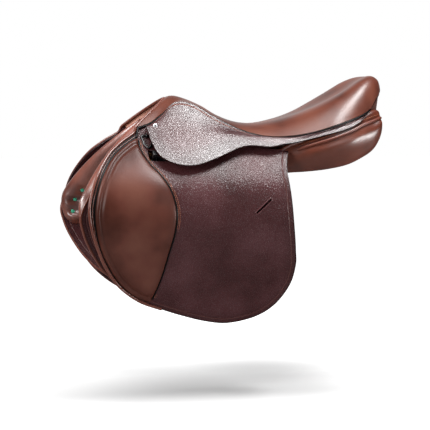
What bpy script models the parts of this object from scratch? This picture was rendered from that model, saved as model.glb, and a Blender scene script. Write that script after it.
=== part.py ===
"""Close-contact jumping saddle with external knee pads, every piece a separate solid.

The near (left) side faces -Y, the cantle is towards +X and +Z is up. The origin lies on the
centre plane, at the level where the panels bear on a rack. Values here are millimetres and
degrees, and solid() turns them into metres. Every layer of leather is cut flat, as (x, height)
on a saddler's pattern, and laid on one flank surface at its own depth, outwards positive.
"""

import math

import bmesh
import bpy
import numpy as np
from mathutils import Matrix, Vector

MM = 0.001
GAP = 0.3
NEAR, OFF = -1, 1
SIDES = {"near": NEAR, "off": OFF}

# The flank: the horse's side under the saddle
FLANK_HALF_WIDTH = 157.6
ROOF_SLOPE = 1.05
SHOULDER_Z = -30.0
SHOULDER_SOFT = 16.0
TUCK_SLOPE = 0.5
TUCK_Z = -105.0
TUCK_SOFT = 25.0

# Thickness of each layer, from the horse outwards
PANEL_THICK = 30.0
PANEL_CROWN = 9.0
PANEL_SEAM_SWELL = 1.2
ROLL_EDGE = 13.5
ROLL_BELLY = 21.5
ROLL_REACH = 30.0
PAD_CELL = 13.0
DIMPLE_DEPTH = 9.0
DIMPLE_R = 13.0
SWEAT_FLAP_THICK = 4.0
TREE_THICK = 14.0
TREE_OUT = 6.0
BILLET_THICK = 3.5
BILLET_AIR = 1.5
BLOCK_EDGE = 7.0
BLOCK_REACH = 10.0
FLAP_IN = 20.0
FLAP_THICK = 4.5
KNEE_PAD_EDGE = 1.8
KNEE_PAD_CROWN = 6.0
SKIRT_IN = 37.0
SKIRT_THICK = 3.0
SKIVED_EDGE = 1.0
SKIVE_REACH = 3.0

# The same layers as depths on the flank
TREE_IN = TREE_OUT - TREE_THICK
PANEL_OUT = TREE_IN - GAP
PANEL_IN = PANEL_OUT - PANEL_THICK
SWEAT_FLAP_OUT = TREE_IN + SWEAT_FLAP_THICK
BILLET_IN = SWEAT_FLAP_OUT + BILLET_AIR
BILLET_PITCH = BILLET_THICK + BILLET_AIR + 1.0
FLAP_OUT = FLAP_IN + FLAP_THICK
SKIRT_OUT = SKIRT_IN + SKIRT_THICK

# The fold line that the flap and the skirt lift about
HINGE_FRONT = (-173.0, 54.3)
HINGE_REAR = (20.0, 31.3)
HINGE_DEPTH = SKIRT_IN + SKIRT_THICK / 2
FOLD_GAP = SKIVED_EDGE / 2 + 0.5
SKIRT_TAIL_X = 74.0

# The stirrup bar, its catch and the window that they reach through
BAR_FRONT = (-170.0, 15.0)
BAR_REAR_HEIGHT = 12.0
BAR_LENGTH = 72.0
BAR_WIDTH = 10.0
BAR_THICK = 7.0
BAR_DEPTH = 27.0
BAR_ARM = 9.0
PLATE_THICK = 4.0
PLATE_SEAT = 0.8
PLATE_MARGIN = 9.0
CATCH_LENGTH = 26.0
CATCH_LAP = 4.0
CATCH_THICK = 5.0
WINDOW_UP = 9.5
WINDOW_DOWN = 8.0
WINDOW_END = 6.0

# The front dee and its staple
DEE_X = -174.0
DEE_FROM_FOLD = 6.0
DEE_WIDTH = 17.0
DEE_DROP = 21.0
DEE_WIRE_R = 1.7
STAPLE_WIRE_R = 1.3

# Straps
BILLET_WIDTH = 26.0
BILLET_SPACING = 42.0
BILLET_MID_X = -34.0
BILLET_TOP_Z = -16.0
BILLET_END_Z = -236.0
BILLET_TOP_GAP = 0.5
BILLET_CORNER = 5.0
GIRTH_WEB_TOP_Z = 1.5
GIRTH_WEB_MARGIN = 14.0

# Beads, welts, buttons and nails
BEAD_R = 2.6
WELT_R = 1.6
TUFT_R = 3.6
TUFT_THICK = 3.0
TUFT_AIR = 1.3
NAIL_R = 4.8
NAIL_RISE = 2.6

# The seat's layers, down from its surface
SEAT_GAP = 0.6
COVER_THICK = 3.0
FACING_DROP = 12.0
FACING_LEAN = 4.0
FOAM_THICK = 11.0
WEB_THICK = 1.8
RAIL_THICK = 9.0
HEAD_THICK = 11.0
PLATE_STEEL = 2.5
LINING_THICK = 2.5
FOAM_TOP = COVER_THICK + SEAT_GAP
WEB_TOP = FOAM_TOP + FOAM_THICK + SEAT_GAP
TREE_TOP = WEB_TOP + WEB_THICK + SEAT_GAP
RAIL_TOP = TREE_TOP + WEB_THICK + SEAT_GAP
HEAD_PLATE_TOP = TREE_TOP + HEAD_THICK + SEAT_GAP
LINING_TOP = HEAD_PLATE_TOP + PLATE_STEEL + SEAT_GAP

# Ribs of the seat from pommel to cantle: centre x, z, edge x, half width, z, then how square
# the rib is across, how round it is seen from above, and how deep its dish is
SEAT_RIBS = (
    (-121.5, 139.3, -189.0, 84.0, 84.0, 1.7, 1.55, 0),
    (-112.0, 142.0, -165.0, 78.0, 92.0, 1.8, 1.4, 0),
    (-100.0, 141.0, -140.0, 68.0, 109.0, 2.0, 1.6, 0),
    (-80.0, 134.5, -112.0, 59.0, 129.0, 2.2, 1.8, 0),
    (-54.4, 122.6, -80.0, 61.0, 125.0, 2.4, 2.0, 0),
    (-25.0, 105.0, -40.0, 73.0, 101.0, 2.6, 2.0, 0),
    (10.0, 93.3, 5.0, 86.0, 78.9, 2.8, 2.0, 0),
    (50.0, 92.3, 50.0, 98.0, 67.5, 2.8, 2.0, 1),
    (95.0, 103.5, 95.0, 109.0, 68.2, 2.8, 2.0, 4),
    (140.0, 120.5, 135.0, 119.0, 75.6, 3.0, 2.0, 8),
    (182.0, 142.0, 172.0, 125.0, 87.0, 3.4, 2.0, 12),
    (218.0, 162.0, 205.0, 120.0, 98.0, 3.8, 2.1, 13),
    (248.0, 178.5, 230.0, 110.0, 107.0, 4.0, 2.2, 9),
    (272.0, 182.5, 244.0, 101.0, 114.0, 4.0, 2.2, 2),
    (289.0, 173.6, 249.0, 97.0, 116.5, 4.0, 2.3, 0),
    (295.0, 156.0, 251.0, 95.5, 117.4, 4.0, 2.3, 0),
    (289.0, 125.3, 252.0, 95.0, 118.0, 4.0, 2.3, 0),
)
DISH_REACH = 0.82

# Lower edge of the skirt's fixed tail behind the lobe: x, half width, z
TAIL_EDGE = (
    (118.6, 126.0, 60.9),
    (153.6, 130.0, 69.6),
    (189.7, 130.5, 79.3),
    (217.1, 123.0, 90.5),
    (238.0, 108.0, 103.0),
)

# Sections of a panel: x, then the inner top, outer top, gusset seam, outer foot and gullet edge.
# Each has its height, after its distance from the centre, or for the outer three from the flank
PANEL_STATIONS = (
    (-165.0, (50, 57), (67.6, 12), (64.6, 0), (70.6, -10), (54, 32)),
    (-146.0, (42, 66), (50.6, 5), (44.6, -8), (58.6, -22), (40, 33)),
    (-60.0, (37, 66), (49.6, 4), (42.6, -9), (57.6, -25), (34, 31)),
    (20.0, (37, 61), (53.6, 11), (45.6, 2), (56.6, -17), (34, 31)),
    (60.0, (37, 56), (55.6, 30), (49.6, 22), (55.6, -6), (34, 32)),
    (88.0, (37, 60), (57.6, 42), (47.6, 35), (54.6, -1), (34, 33)),
    (120.0, (37, 74), (51.6, 54), (32.6, 48), (52.6, 1), (35, 35)),
    (160.0, (37, 92), (49.6, 68), (26.6, 60), (51.6, 5), (36, 38)),
    (200.0, (38, 106), (53.6, 84), (30.6, 74), (52.6, 14), (38, 46)),
    (230.0, (40, 112), (63.6, 98), (43.6, 87), (55.6, 31), (42, 60)),
    (254.0, (46, 107), (77.6, 99), (59.6, 93), (63.6, 54), (50, 78)),
    (268.0, (56, 104), (85.6, 99), (75.6, 95), (77.6, 80), (62, 90)),
)

# Flat patterns: x and height on the flank
FLAP_EDGE = (
    (-207, 48), (-223.5, 37.8), (-248.4, 17.4), (-270.4, -11), (-285.5, -37), (-291.8, -61),
    (-288.3, -87), (-278.9, -114), (-263, -148), (-243.5, -177), (-220, -200), (-191, -219),
    (-154, -233), (-116, -246), (-68, -259.5), (-24, -265), (26, -255), (61, -232),
    (84, -194), (90, -156), (86.6, -129), (79, -80), (73.5, -24), (75.4, -1),
)
FLAP_FRONT_X = -188.0
FLAP_REAR_X = 84.0
KNEE_PAD_REAR = (
    (-191, 45), (-189.9, 24.5), (-176.4, -0.4), (-161, -15.6), (-146, -36), (-137, -62),
    (-138.4, -92), (-148.6, -132), (-159.3, -177), (-173.7, -219),
)
KNEE_PAD_FRONT = (
    (-173.7, -219), (-192.9, -207.8), (-221.7, -184.3), (-247.5, -147), (-263.3, -113.5),
    (-271.2, -75), (-268.9, -47.4), (-257.9, -22), (-237.5, 8), (-211, 31), (-191, 45),
)
LOBE_EDGE = (
    (-172, 46), (-169, 27), (-158.9, 7), (-139.5, -3.8), (-117, -8.3), (-90, -7),
    (-61, 0.3), (-34.6, 9.7), (-10, 19), (10, 22.5), (30, 21.5), (50, 20.5),
)
LOBE_FRONT_X = -173.5
SWEAT_FLAP_FRONT = (
    (-203, 52), (-230, 36), (-257, 15), (-280, -11), (-293, -34), (-299, -55), (-300, -75),
    (-297, -95), (-289, -119), (-275, -146), (-257, -172), (-232, -196), (-196, -216),
)
SWEAT_FLAP_TOP = ((58, 4), (-50, 4), (-60, -4), (-182, -4), (-186, 40))
SWEAT_FLAP_REAR = ((-60, -244), (-20, -246), (24, -236), (54, -212), (68, -172), (66, -120), (60, -60))
ROLL_OUTER = (
    (-198, 50), (-226, 33), (-253, 13), (-275, -12), (-288, -35), (-294, -56), (-295, -74), (-289, -90),
)
ROLL_INNER = ((-268, -99), (-246, -96), (-234, -78), (-228, -50), (-212, -20), (-190, 3), (-166, 22))
FRONT_BLOCK = ((-262, -60), (-268, -84), (-258, -120), (-238, -156), (-226, -150), (-232, -110), (-242, -70))
REAR_BLOCK = ((34, -70), (52, -76), (58, -110), (52, -150), (38, -156), (28, -130), (28, -96))
TREE_POINT = ((-180, 63), (-150, 66), (-100, 60), (-52, 50), (-52, 12), (-100, 0), (-176, 8))
KEEPER_SLIT = ((36.4, -50.2), (10.2, -68.4))
KEEPER_SLIT_WIDTH = 3.0
TUFTS = ((-255, -26), (-270, -56), (-272, -82))
NAIL_X = -158.0
NAIL_ABOVE_FOLD = 8.0


def softplus(value, soft):
    return soft * np.logaddexp(0, value / soft)


def flank(x, height, depth, side):
    """The point of a flat pattern, laid on the horse's side at this depth."""
    half = FLANK_HALF_WIDTH - ROOF_SLOPE * softplus(height - SHOULDER_Z, SHOULDER_SOFT)
    half -= TUCK_SLOPE * softplus(TUCK_Z - height, TUCK_SOFT)
    slope = -ROOF_SLOPE / (1 + math.exp(-(height - SHOULDER_Z) / SHOULDER_SOFT))
    slope += TUCK_SLOPE / (1 + math.exp(-(TUCK_Z - height) / TUCK_SOFT))
    out = Vector((0, 1, -slope)).normalized()
    return Vector((x, side * (half + out.y * depth), height + out.z * depth))


def flank_out(height, side):
    """The direction straight out of the flank at this height."""
    return (flank(0, height, 1, side) - flank(0, height, 0, side)).normalized()


def fold_height(x):
    """Height of the fold line on the flat pattern."""
    (x0, z0), (x1, z1) = HINGE_FRONT, HINGE_REAR
    return z0 + (z1 - z0) * (x - x0) / (x1 - x0)


def fold_point(x, side):
    """A point of the fold, which is a straight line so that the skirt and flap can turn on it."""
    first = flank(HINGE_FRONT[0], HINGE_FRONT[1], HINGE_DEPTH, side)
    last = flank(HINGE_REAR[0], HINGE_REAR[1], HINGE_DEPTH, side)
    return first + (last - first) * ((x - first.x) / (last.x - first.x))


def spline(keys, count, closed=False):
    """Points on a smooth curve through the given ones."""
    keys = np.array(keys, float)
    if closed:
        keys = np.vstack([keys[-1:], keys, keys[:2]])
    else:
        keys = np.vstack([2 * keys[0] - keys[1], keys, 2 * keys[-1] - keys[-2]])
    spans = len(keys) - 3
    points = []
    for step in range(count):
        place = spans * step / (count if closed else count - 1)
        first = min(int(place), spans - 1)
        f = place - first
        a, b, c, d = keys[first : first + 4]
        points.append(
            0.5 * (2 * b + (c - a) * f + (2 * a - 5 * b + 4 * c - d) * f**2 + (3 * b - 3 * c + d - a) * f**3)
        )
    return points


def material(name, colour, roughness, metallic=0.0):
    """A Principled material; colours are linear."""
    made = bpy.data.materials.get(name)
    if made is None:
        made = bpy.data.materials.new(name)
        made.use_nodes = True
        shader = made.node_tree.nodes["Principled BSDF"]
        shader.inputs["Base Color"].default_value = (*colour, 1)
        shader.inputs["Roughness"].default_value = roughness
        shader.inputs["Metallic"].default_value = metallic
        made.diffuse_color = (*colour, 1)
    return made


def calf():
    return material("smooth_calf", (0.162, 0.056, 0.042), 0.42)


def grain():
    return material("grained_leather", (0.069, 0.027, 0.030), 0.5)


def piping():
    return material("piping_leather", (0.262, 0.091, 0.064), 0.4)


def black_piping():
    return material("black_welt", (0.008, 0.007, 0.007), 0.45)


def black_steel():
    return material("black_steel", (0.01, 0.01, 0.01), 0.35, 1.0)


def bright_steel():
    return material("bright_steel", (0.6, 0.6, 0.6), 0.2, 1.0)


def beech():
    return material("laminated_beech", (0.45, 0.27, 0.13), 0.6)


def webbing():
    return material("webbing", (0.62, 0.52, 0.38), 0.85)


def foam():
    return material("latex_foam", (0.72, 0.66, 0.5), 0.9)


def green_thread():
    return material("green_thread", (0.012, 0.238, 0.133), 0.7)


def solid(name, bm, finish, about=None):
    """A named object from a mesh in millimetres, its origin on the given joint point."""
    bmesh.ops.remove_doubles(bm, verts=bm.verts, dist=1e-4)
    bmesh.ops.recalc_face_normals(bm, faces=bm.faces)
    origin = Vector(about or (0, 0, 0)) * MM
    bmesh.ops.transform(bm, matrix=Matrix.Translation(-origin) @ Matrix.Scale(MM, 4), verts=bm.verts)
    mesh = bpy.data.meshes.new(name)
    bm.to_mesh(mesh)
    bm.free()
    mesh.materials.append(finish)
    mesh.shade_smooth()
    mesh.set_sharp_from_angle(angle=math.radians(40))
    made = bpy.data.objects.new(name, mesh)
    made.location = origin
    saddle.objects.link(made)
    return made


# Heights at which every sheet is creased to follow the flank, closer where it bends
CREASES = [*range(-290, -155, 22), *range(-158, -60, 14), *range(-60, 100, 10)]


def laid(x, height, depth, side):
    """The flank between two creases, where a sheet lies flat."""
    above = int(np.clip(np.searchsorted(CREASES, height), 1, len(CREASES) - 1))
    low, high = CREASES[above - 1], CREASES[above]
    first, last = flank(x, low, depth, side), flank(x, high, depth, side)
    return first.lerp(last, (height - low) / (high - low))


def distance_inside(points, outline):
    """How far each flat point lies from the outline."""
    a = np.array(outline, float)
    b = np.roll(a, -1, axis=0)
    found = []
    for point in points:
        along = ((point - a) * (b - a)).sum(1) / np.maximum(((b - a) ** 2).sum(1), 1e-9)
        near = a + np.clip(along, 0, 1)[:, None] * (b - a)
        found.append(np.sqrt(((point - near) ** 2).sum(1)).min())
    return np.array(found)


def sheet(name, outline, inner, outer, side, finish, holes=(), crown=0, belly=0, reach=1, cell=None,
          dimples=(), skive=None, about=None):
    """Leather or padding cut to a flat outline and laid on the flank between two depths.

    A crown swells its outer face and a belly its inner one, over a reach from the outline.
    Dimples draw the belly in. A skived sheet is thinned to that thickness along the fold.
    """
    flat = bpy.data.curves.new(name, "CURVE")
    flat.dimensions = "2D"
    flat.fill_mode = "BOTH"
    flat.extrude = 1.0
    for loop in (outline, *holes):
        ring = flat.splines.new("POLY")
        ring.points.add(len(loop) - 1)
        ring.use_cyclic_u = True
        for point, (x, z) in zip(ring.points, loop):
            point.co = (x, z, 0, 1)
    carrier = bpy.data.objects.new(name, flat)
    bpy.context.scene.collection.objects.link(carrier)
    graph = bpy.context.evaluated_depsgraph_get()
    cut = bpy.data.meshes.new_from_object(carrier.evaluated_get(graph))
    bm = bmesh.new()
    bm.from_mesh(cut)
    bpy.data.objects.remove(carrier)
    bpy.data.curves.remove(flat)
    bpy.data.meshes.remove(cut)
    bmesh.ops.remove_doubles(bm, verts=bm.verts, dist=1e-3)
    bmesh.ops.dissolve_limit(bm, angle_limit=math.radians(0.5), verts=bm.verts, edges=bm.edges)
    cuts = [((0, z, 0), (0, 1, 0)) for z in CREASES]
    if cell:
        low, high = min(p[0] for p in outline), max(p[0] for p in outline)
        cuts += [((x, 0, 0), (1, 0, 0)) for x in np.arange(low + cell / 2, high, cell)]
    for x, z, *_ in dimples:
        cuts += [((x, 0, 0), (1, 0, 0)), ((0, z, 0), (0, 1, 0))]
    for place, normal in cuts:
        everything = bm.verts[:] + bm.edges[:] + bm.faces[:]
        bmesh.ops.bisect_plane(bm, geom=everything, plane_co=place, plane_no=normal, dist=1e-3)
    flats = np.array([vert.co.xy[:] for vert in bm.verts])
    swell = np.zeros(len(flats))
    if crown or belly:
        inset = np.minimum(distance_inside(flats, outline) / reach, 1)
        swell = np.sqrt(1 - (1 - inset) ** 2)
    for vert, rise in zip(bm.verts, swell):
        x, z, face = vert.co
        if face > 0:
            depth = outer + crown * rise
        else:
            depth = inner - belly * rise
            for tuft_x, tuft_z, sink, radius in dimples:
                away = math.hypot(x - tuft_x, z - tuft_z) / radius
                depth += sink * math.exp(-away * away)
        if skive and abs(z - fold_height(x)) < 0.01:
            lift = skive / 2 if face > 0 else -skive / 2
            vert.co = fold_point(x, side) + flank_out(z, side) * lift
        else:
            vert.co = laid(x, z, depth, side)
    return solid(name, bm, finish, about)


def loft(name, rings, finish, about=None):
    """A closed solid through rings of as many points each, with a flat face at each end."""
    bm = bmesh.new()
    rows = [[bm.verts.new(point) for point in ring] for ring in rings]
    for row, after in zip(rows, rows[1:]):
        for i in range(len(row)):
            j = (i + 1) % len(row)
            bm.faces.new((row[i], row[j], after[j], after[i]))
    bm.faces.new(rows[0])
    bm.faces.new(rows[-1])
    return solid(name, bm, finish, about)


def tube(name, points, radius, finish, about=(0, 0, 0), resolution=1, closed=False):
    """A bead, welt or wire along the points."""
    curve = bpy.data.curves.new(name, "CURVE")
    curve.dimensions = "3D"
    curve.bevel_depth = radius * MM
    curve.bevel_resolution = resolution
    curve.use_fill_caps = not closed
    line = curve.splines.new("POLY")
    line.points.add(len(points) - 1)
    line.use_cyclic_u = closed
    for knot, point in zip(line.points, points):
        knot.co = (*((Vector(point) - Vector(about)) * MM), 1)
    curve.materials.append(finish)
    made = bpy.data.objects.new(name, curve)
    made.location = Vector(about) * MM
    saddle.objects.link(made)
    return made


def rib(place):
    """The seat's rib at a place from 0 at the pommel to 1 at the cantle's back."""
    keys = np.array(SEAT_RIBS)
    keys = np.vstack([2 * keys[0] - keys[1], keys, 2 * keys[-1] - keys[-2]])
    along = place * (len(SEAT_RIBS) - 1)
    first = min(int(along), len(SEAT_RIBS) - 2)
    f = along - first
    a, b, c, d = keys[first : first + 4]
    return 0.5 * (2 * b + (c - a) * f + (2 * a - 5 * b + 4 * c - d) * f**2 + (3 * b - 3 * c + d - a) * f**3)


def seat_surface(along, across):
    """A point of the seat: along from pommel to cantle, across from -1 at the near edge to 1."""
    mid_x, mid_z, edge_x, half, edge_z, square, plan, dish = rib(along)
    out = abs(across)
    hollow = dish * math.cos(math.pi / 2 * min(out / DISH_REACH, 1)) ** 2
    x = edge_x + (mid_x - edge_x) * (1 - out**plan)
    z = edge_z + (mid_z - edge_z) * (1 - out**square) - hollow
    return Vector((x, half * across, z))


def seat_out(along, across):
    """The direction straight out of the seat."""
    step = 0.004
    u0, u1 = max(along - step, 0), min(along + step, 1)
    v0, v1 = max(across - step, -1), min(across + step, 1)
    lengthways = seat_surface(u1, across) - seat_surface(u0, across)
    sideways = seat_surface(along, v1) - seat_surface(along, v0)
    return lengthways.cross(sideways).normalized()


# Lines along and across the seat that every layer of it is built on, closer at its edges
RIB_LINES = np.linspace(0, 1, 25)
CROSS_LINES = [np.sign(t) * abs(t) ** 0.8 for t in np.linspace(-1, 1, 15)]


def lines_within(lines, ends):
    """The ends, and the lines between them that don't crowd them."""
    return [ends[0], *[line for line in lines if ends[0] + 0.012 < line < ends[1] - 0.012], ends[1]]


def slab(name, along, across, top, bottom, finish):
    """A layer of the seat between two depths under its surface."""
    us = lines_within(RIB_LINES, along)
    vs = lines_within(CROSS_LINES, across)
    rows, columns = len(us), len(vs)
    bm = bmesh.new()
    layers = []
    for depth in (top, bottom):
        layers.append([[bm.verts.new(seat_surface(u, v) - seat_out(u, v) * depth) for v in vs] for u in us])
    upper, lower = layers
    for i in range(rows - 1):
        for j in range(columns - 1):
            for layer in layers:
                bm.faces.new((layer[i][j], layer[i][j + 1], layer[i + 1][j + 1], layer[i + 1][j]))
    for i in range(rows - 1):
        for j in (0, columns - 1):
            bm.faces.new((upper[i][j], upper[i + 1][j], lower[i + 1][j], lower[i][j]))
    for j in range(columns - 1):
        for i in (0, rows - 1):
            bm.faces.new((upper[i][j], upper[i][j + 1], lower[i][j + 1], lower[i][j]))
    return solid(name, bm, finish)


def panel_section(station, side):
    """One section of a panel, from its station's five corners."""
    x, top_in, top_out, seam, foot, gullet = station
    corners = [np.array(corner, float) for corner in (top_in, top_out, seam, foot, gullet)]
    top_in, top_out, seam, foot, gullet = corners
    keys = [
        top_in,
        (2 * top_in + top_out) / 3,
        (top_in + 2 * top_out) / 3,
        top_out,
        seam,
        (seam + foot) / 2 + (PANEL_CROWN / 3, -PANEL_CROWN / 4),
        foot,
        (foot + gullet) / 2 - (0, PANEL_CROWN / 2),
        gullet,
        (gullet + top_in) / 2 - (PANEL_CROWN / 6, 0),
    ]
    return [(x, side * y, z) for y, z in spline(keys, 20, closed=True)]


def panel_stations(count):
    """The panel's stations, and smooth ones between them."""
    rows = np.array([np.hstack([[s[0]], *s[1:]]) for s in PANEL_STATIONS], float)
    rows[:, 3:9:2] = FLANK_HALF_WIDTH - rows[:, 3:9:2]
    flat = spline(rows, count)
    return [(row[0], row[1:3], row[3:5], row[5:7], row[7:9], row[9:11]) for row in flat]


saddle = None


def build_seat():
    slab("seat_cover", (0, 1), (-1, 1), 0, COVER_THICK, calf())
    slab("seat_foam", (0.04, 0.76), (-0.86, 0.86), FOAM_TOP, FOAM_TOP + FOAM_THICK, foam())
    slab("seat_web_long", (0.09, 0.82), (-0.26, 0.26), WEB_TOP, WEB_TOP + WEB_THICK, webbing())
    slab("seat_web_cross", (RIB_LINES[11], RIB_LINES[13]), (-0.72, 0.72), TREE_TOP, TREE_TOP + WEB_THICK, webbing())


def build_facing():
    """The leather that closes the cantle's back, under its welt."""
    rings = []
    for across in np.linspace(-0.84, 0.84, 17):
        top = end_edge(1, across, 2 * (WELT_R + SEAT_GAP) + GAP)
        inward = Vector((-1, 0, 0)) if abs(across) < 0.3 else Vector((-1, -across, 0)).normalized()
        foot = top + Vector((0, 0, -FACING_DROP)) + inward * FACING_LEAN
        rings.append([top, foot, foot + inward * COVER_THICK, top + inward * COVER_THICK])
    loft("cantle_facing", rings, calf())


def build_tree():
    slab("tree_head", (0.03, 0.16), (-0.86, 0.86), TREE_TOP, TREE_TOP + HEAD_THICK, beech())
    slab("head_plate", (0.06, 0.12), (-0.8, 0.8), HEAD_PLATE_TOP, HEAD_PLATE_TOP + PLATE_STEEL, black_steel())
    slab("head_lining", (0.0, 0.17), (-0.97, 0.97), LINING_TOP, LINING_TOP + LINING_THICK, calf())
    slab("tree_cantle", (0.765, 0.86), (-0.8, 0.8), TREE_TOP, TREE_TOP + RAIL_THICK, beech())
    for label, side in SIDES.items():
        across = sorted((side * 0.42, side * 0.76))
        slab(f"tree_rail_{label}", (0.175, 0.712), across, RAIL_TOP, RAIL_TOP + RAIL_THICK, beech())
        sheet(f"tree_point_{label}", TREE_POINT, TREE_IN, TREE_OUT, side, beech())


def roll_depth(x, z, outline):
    """How deep the bottom of a tuft's dimple lies on the panel's front roll."""
    inset = min(distance_inside([(x, z)], outline)[0] / ROLL_REACH, 1)
    return PANEL_OUT - ROLL_EDGE - ROLL_BELLY * math.sqrt(1 - (1 - inset) ** 2) + DIMPLE_DEPTH


def build_panels():
    for label, side in SIDES.items():
        rings = [panel_section(station, side) for station in panel_stations(22)]
        loft(f"panel_{label}", rings, calf())
        seam = [Vector((s[0], side * (FLANK_HALF_WIDTH - s[3][0]), s[3][1])) for s in PANEL_STATIONS[5:]]
        out = Vector((0, side * 0.9, 0.44))
        path = [Vector(p) + out * (BEAD_R + PANEL_SEAM_SWELL) for p in spline([p[:] for p in seam], 18)]
        tube(f"panel_bead_{label}", path, BEAD_R, piping())
        outline = spline(ROLL_OUTER, 14) + spline(ROLL_INNER, 10)
        dimples = [(x, z, DIMPLE_DEPTH, DIMPLE_R) for x, z in TUFTS]
        sheet(f"panel_roll_{label}", outline, PANEL_OUT - ROLL_EDGE, PANEL_OUT, side, calf(),
              belly=ROLL_BELLY, reach=ROLL_REACH, cell=PAD_CELL, dimples=dimples)
        for number, (x, z) in enumerate(TUFTS, 1):
            foot = roll_depth(x, z, outline) - TUFT_AIR - TUFT_THICK
            button(f"tuft_{number}_{label}", x, z, foot, side, TUFT_R, TUFT_THICK, green_thread())
        outline = spline(SWEAT_FLAP_FRONT, 18) + spline(SWEAT_FLAP_REAR, 12) + list(SWEAT_FLAP_TOP)
        sheet(f"sweat_flap_{label}", outline, TREE_IN, SWEAT_FLAP_OUT, side, grain())


def button(name, x, z, depth, side, radius, thick, finish):
    """A domed disc that faces along the flank's normal."""
    bm = bmesh.new()
    bmesh.ops.create_uvsphere(bm, u_segments=10, v_segments=6, radius=radius)
    out = flank_out(z, side)
    turn = out.to_track_quat("Z", "Y").to_matrix().to_4x4()
    squash = Matrix.Diagonal((1, 1, thick / (2 * radius), 1))
    place = Matrix.Translation(flank(x, z, depth + thick / 2, side))
    bmesh.ops.transform(bm, matrix=place @ turn @ squash, verts=bm.verts)
    return solid(name, bm, finish)


def build_blocks():
    for label, side in SIDES.items():
        for name, edge in (("front_block", FRONT_BLOCK), ("rear_block", REAR_BLOCK)):
            base = SWEAT_FLAP_OUT + GAP
            crown = FLAP_IN - GAP - base - BLOCK_EDGE
            sheet(f"{name}_{label}", spline(edge, 16, closed=True), base, base + BLOCK_EDGE, side, calf(),
                      crown=crown, reach=BLOCK_REACH, cell=PAD_CELL)


def build_girthing():
    half = BILLET_SPACING / 2 + BILLET_WIDTH / 2 + GIRTH_WEB_MARGIN
    x0, x1 = BILLET_MID_X - half, BILLET_MID_X + half
    for label, side in SIDES.items():
        web_z = BILLET_TOP_Z + BILLET_TOP_GAP
        outline = [(x0, GIRTH_WEB_TOP_Z), (x1, GIRTH_WEB_TOP_Z), (x1, web_z), (x0, web_z)]
        web_out = BILLET_IN + BILLET_PITCH + BILLET_THICK
        sheet(f"girth_web_{label}", outline, SWEAT_FLAP_OUT + GAP, web_out, side, webbing())
        for number in range(2):
            x = BILLET_MID_X + (number - 0.5) * BILLET_SPACING
            depth = BILLET_IN + number * BILLET_PITCH
            w = BILLET_WIDTH / 2
            tip = BILLET_END_Z
            top, cut = BILLET_TOP_Z, BILLET_CORNER
            outline = [(x - w, top - cut), (x - w + cut, top), (x + w - cut, top), (x + w, top - cut),
                       (x + w, tip + w), (x + w / 2, tip + 2), (x, tip), (x - w / 2, tip + 2), (x - w, tip + w)]
            pivot = flank(x, BILLET_TOP_Z, depth + BILLET_THICK / 2, side)
            sheet(f"billet_{('front', 'rear')[number]}_{label}", outline, depth, depth + BILLET_THICK,
                  side, grain(), about=pivot)


def bar_height(x):
    """Height of the stirrup bar on the pattern."""
    return BAR_FRONT[1] + (BAR_REAR_HEIGHT - BAR_FRONT[1]) * (x - BAR_FRONT[0]) / BAR_LENGTH


def window_outline():
    """The opening in the flap for the stirrup bar and its catch."""
    x0 = BAR_FRONT[0] - WINDOW_END
    x1 = BAR_FRONT[0] + BAR_LENGTH + CATCH_LENGTH + WINDOW_END - CATCH_LAP
    return [(x0, bar_height(x0) + WINDOW_UP), (x1, bar_height(x1) + WINDOW_UP),
            (x1, bar_height(x1) - WINDOW_DOWN), (x0, bar_height(x0) - WINDOW_DOWN)]


def slit_outline():
    (x0, z0), (x1, z1) = KEEPER_SLIT
    run = Vector((x1 - x0, z1 - z0)).normalized()
    across = Vector((-run.y, run.x)) * (KEEPER_SLIT_WIDTH / 2)
    return [(x0 + across.x, z0 + across.y), (x1 + across.x, z1 + across.y),
            (x1 - across.x, z1 - across.y), (x0 - across.x, z0 - across.y)]


def bar_frame(side):
    """Directions at the stirrup bar: along it, down the flank and out."""
    x0, x1 = BAR_FRONT[0], BAR_FRONT[0] + BAR_LENGTH
    ahead = (flank(x1, bar_height(x1), 0, side) - flank(x0, bar_height(x0), 0, side)).normalized()
    out = flank_out(bar_height((x0 + x1) / 2), side)
    out = (out - ahead * out.dot(ahead)).normalized()
    down = out.cross(ahead)
    return ahead, (-down if down.z > 0 else down), out


def box(bm, corner, frame, low, high):
    """A rectangular bar in a turned frame, from its lowest to its highest corner."""
    ahead, down, out = frame
    made = bmesh.ops.create_cube(bm, size=1)["verts"]
    low, high = Vector(low), Vector(high)
    size = high - low
    turn = Matrix((ahead, down, out)).transposed().to_4x4()
    place = Matrix.Translation(corner) @ turn @ Matrix.Translation((low + high) / 2)
    bmesh.ops.transform(bm, matrix=place @ Matrix.Diagonal((*size, 1)), verts=made)


def join(name, parts, finish, about=None):
    """One solid from overlapping shapes, joined by Boolean unions."""
    objects = []
    for number, bm in enumerate(parts):
        bmesh.ops.recalc_face_normals(bm, faces=bm.faces)
        mesh = bpy.data.meshes.new(f"{name}_piece_{number}")
        bm.to_mesh(mesh)
        bm.free()
        objects.append(bpy.data.objects.new(mesh.name, mesh))
        bpy.context.scene.collection.objects.link(objects[-1])
    for other in objects[1:]:
        union = objects[0].modifiers.new("join", "BOOLEAN")
        union.operation = "UNION"
        union.object = other
    graph = bpy.context.evaluated_depsgraph_get()
    joined = bpy.data.meshes.new_from_object(objects[0].evaluated_get(graph))
    bm = bmesh.new()
    bm.from_mesh(joined)
    for piece in objects:
        bpy.data.objects.remove(piece)
    return solid(name, bm, finish, about)


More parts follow.
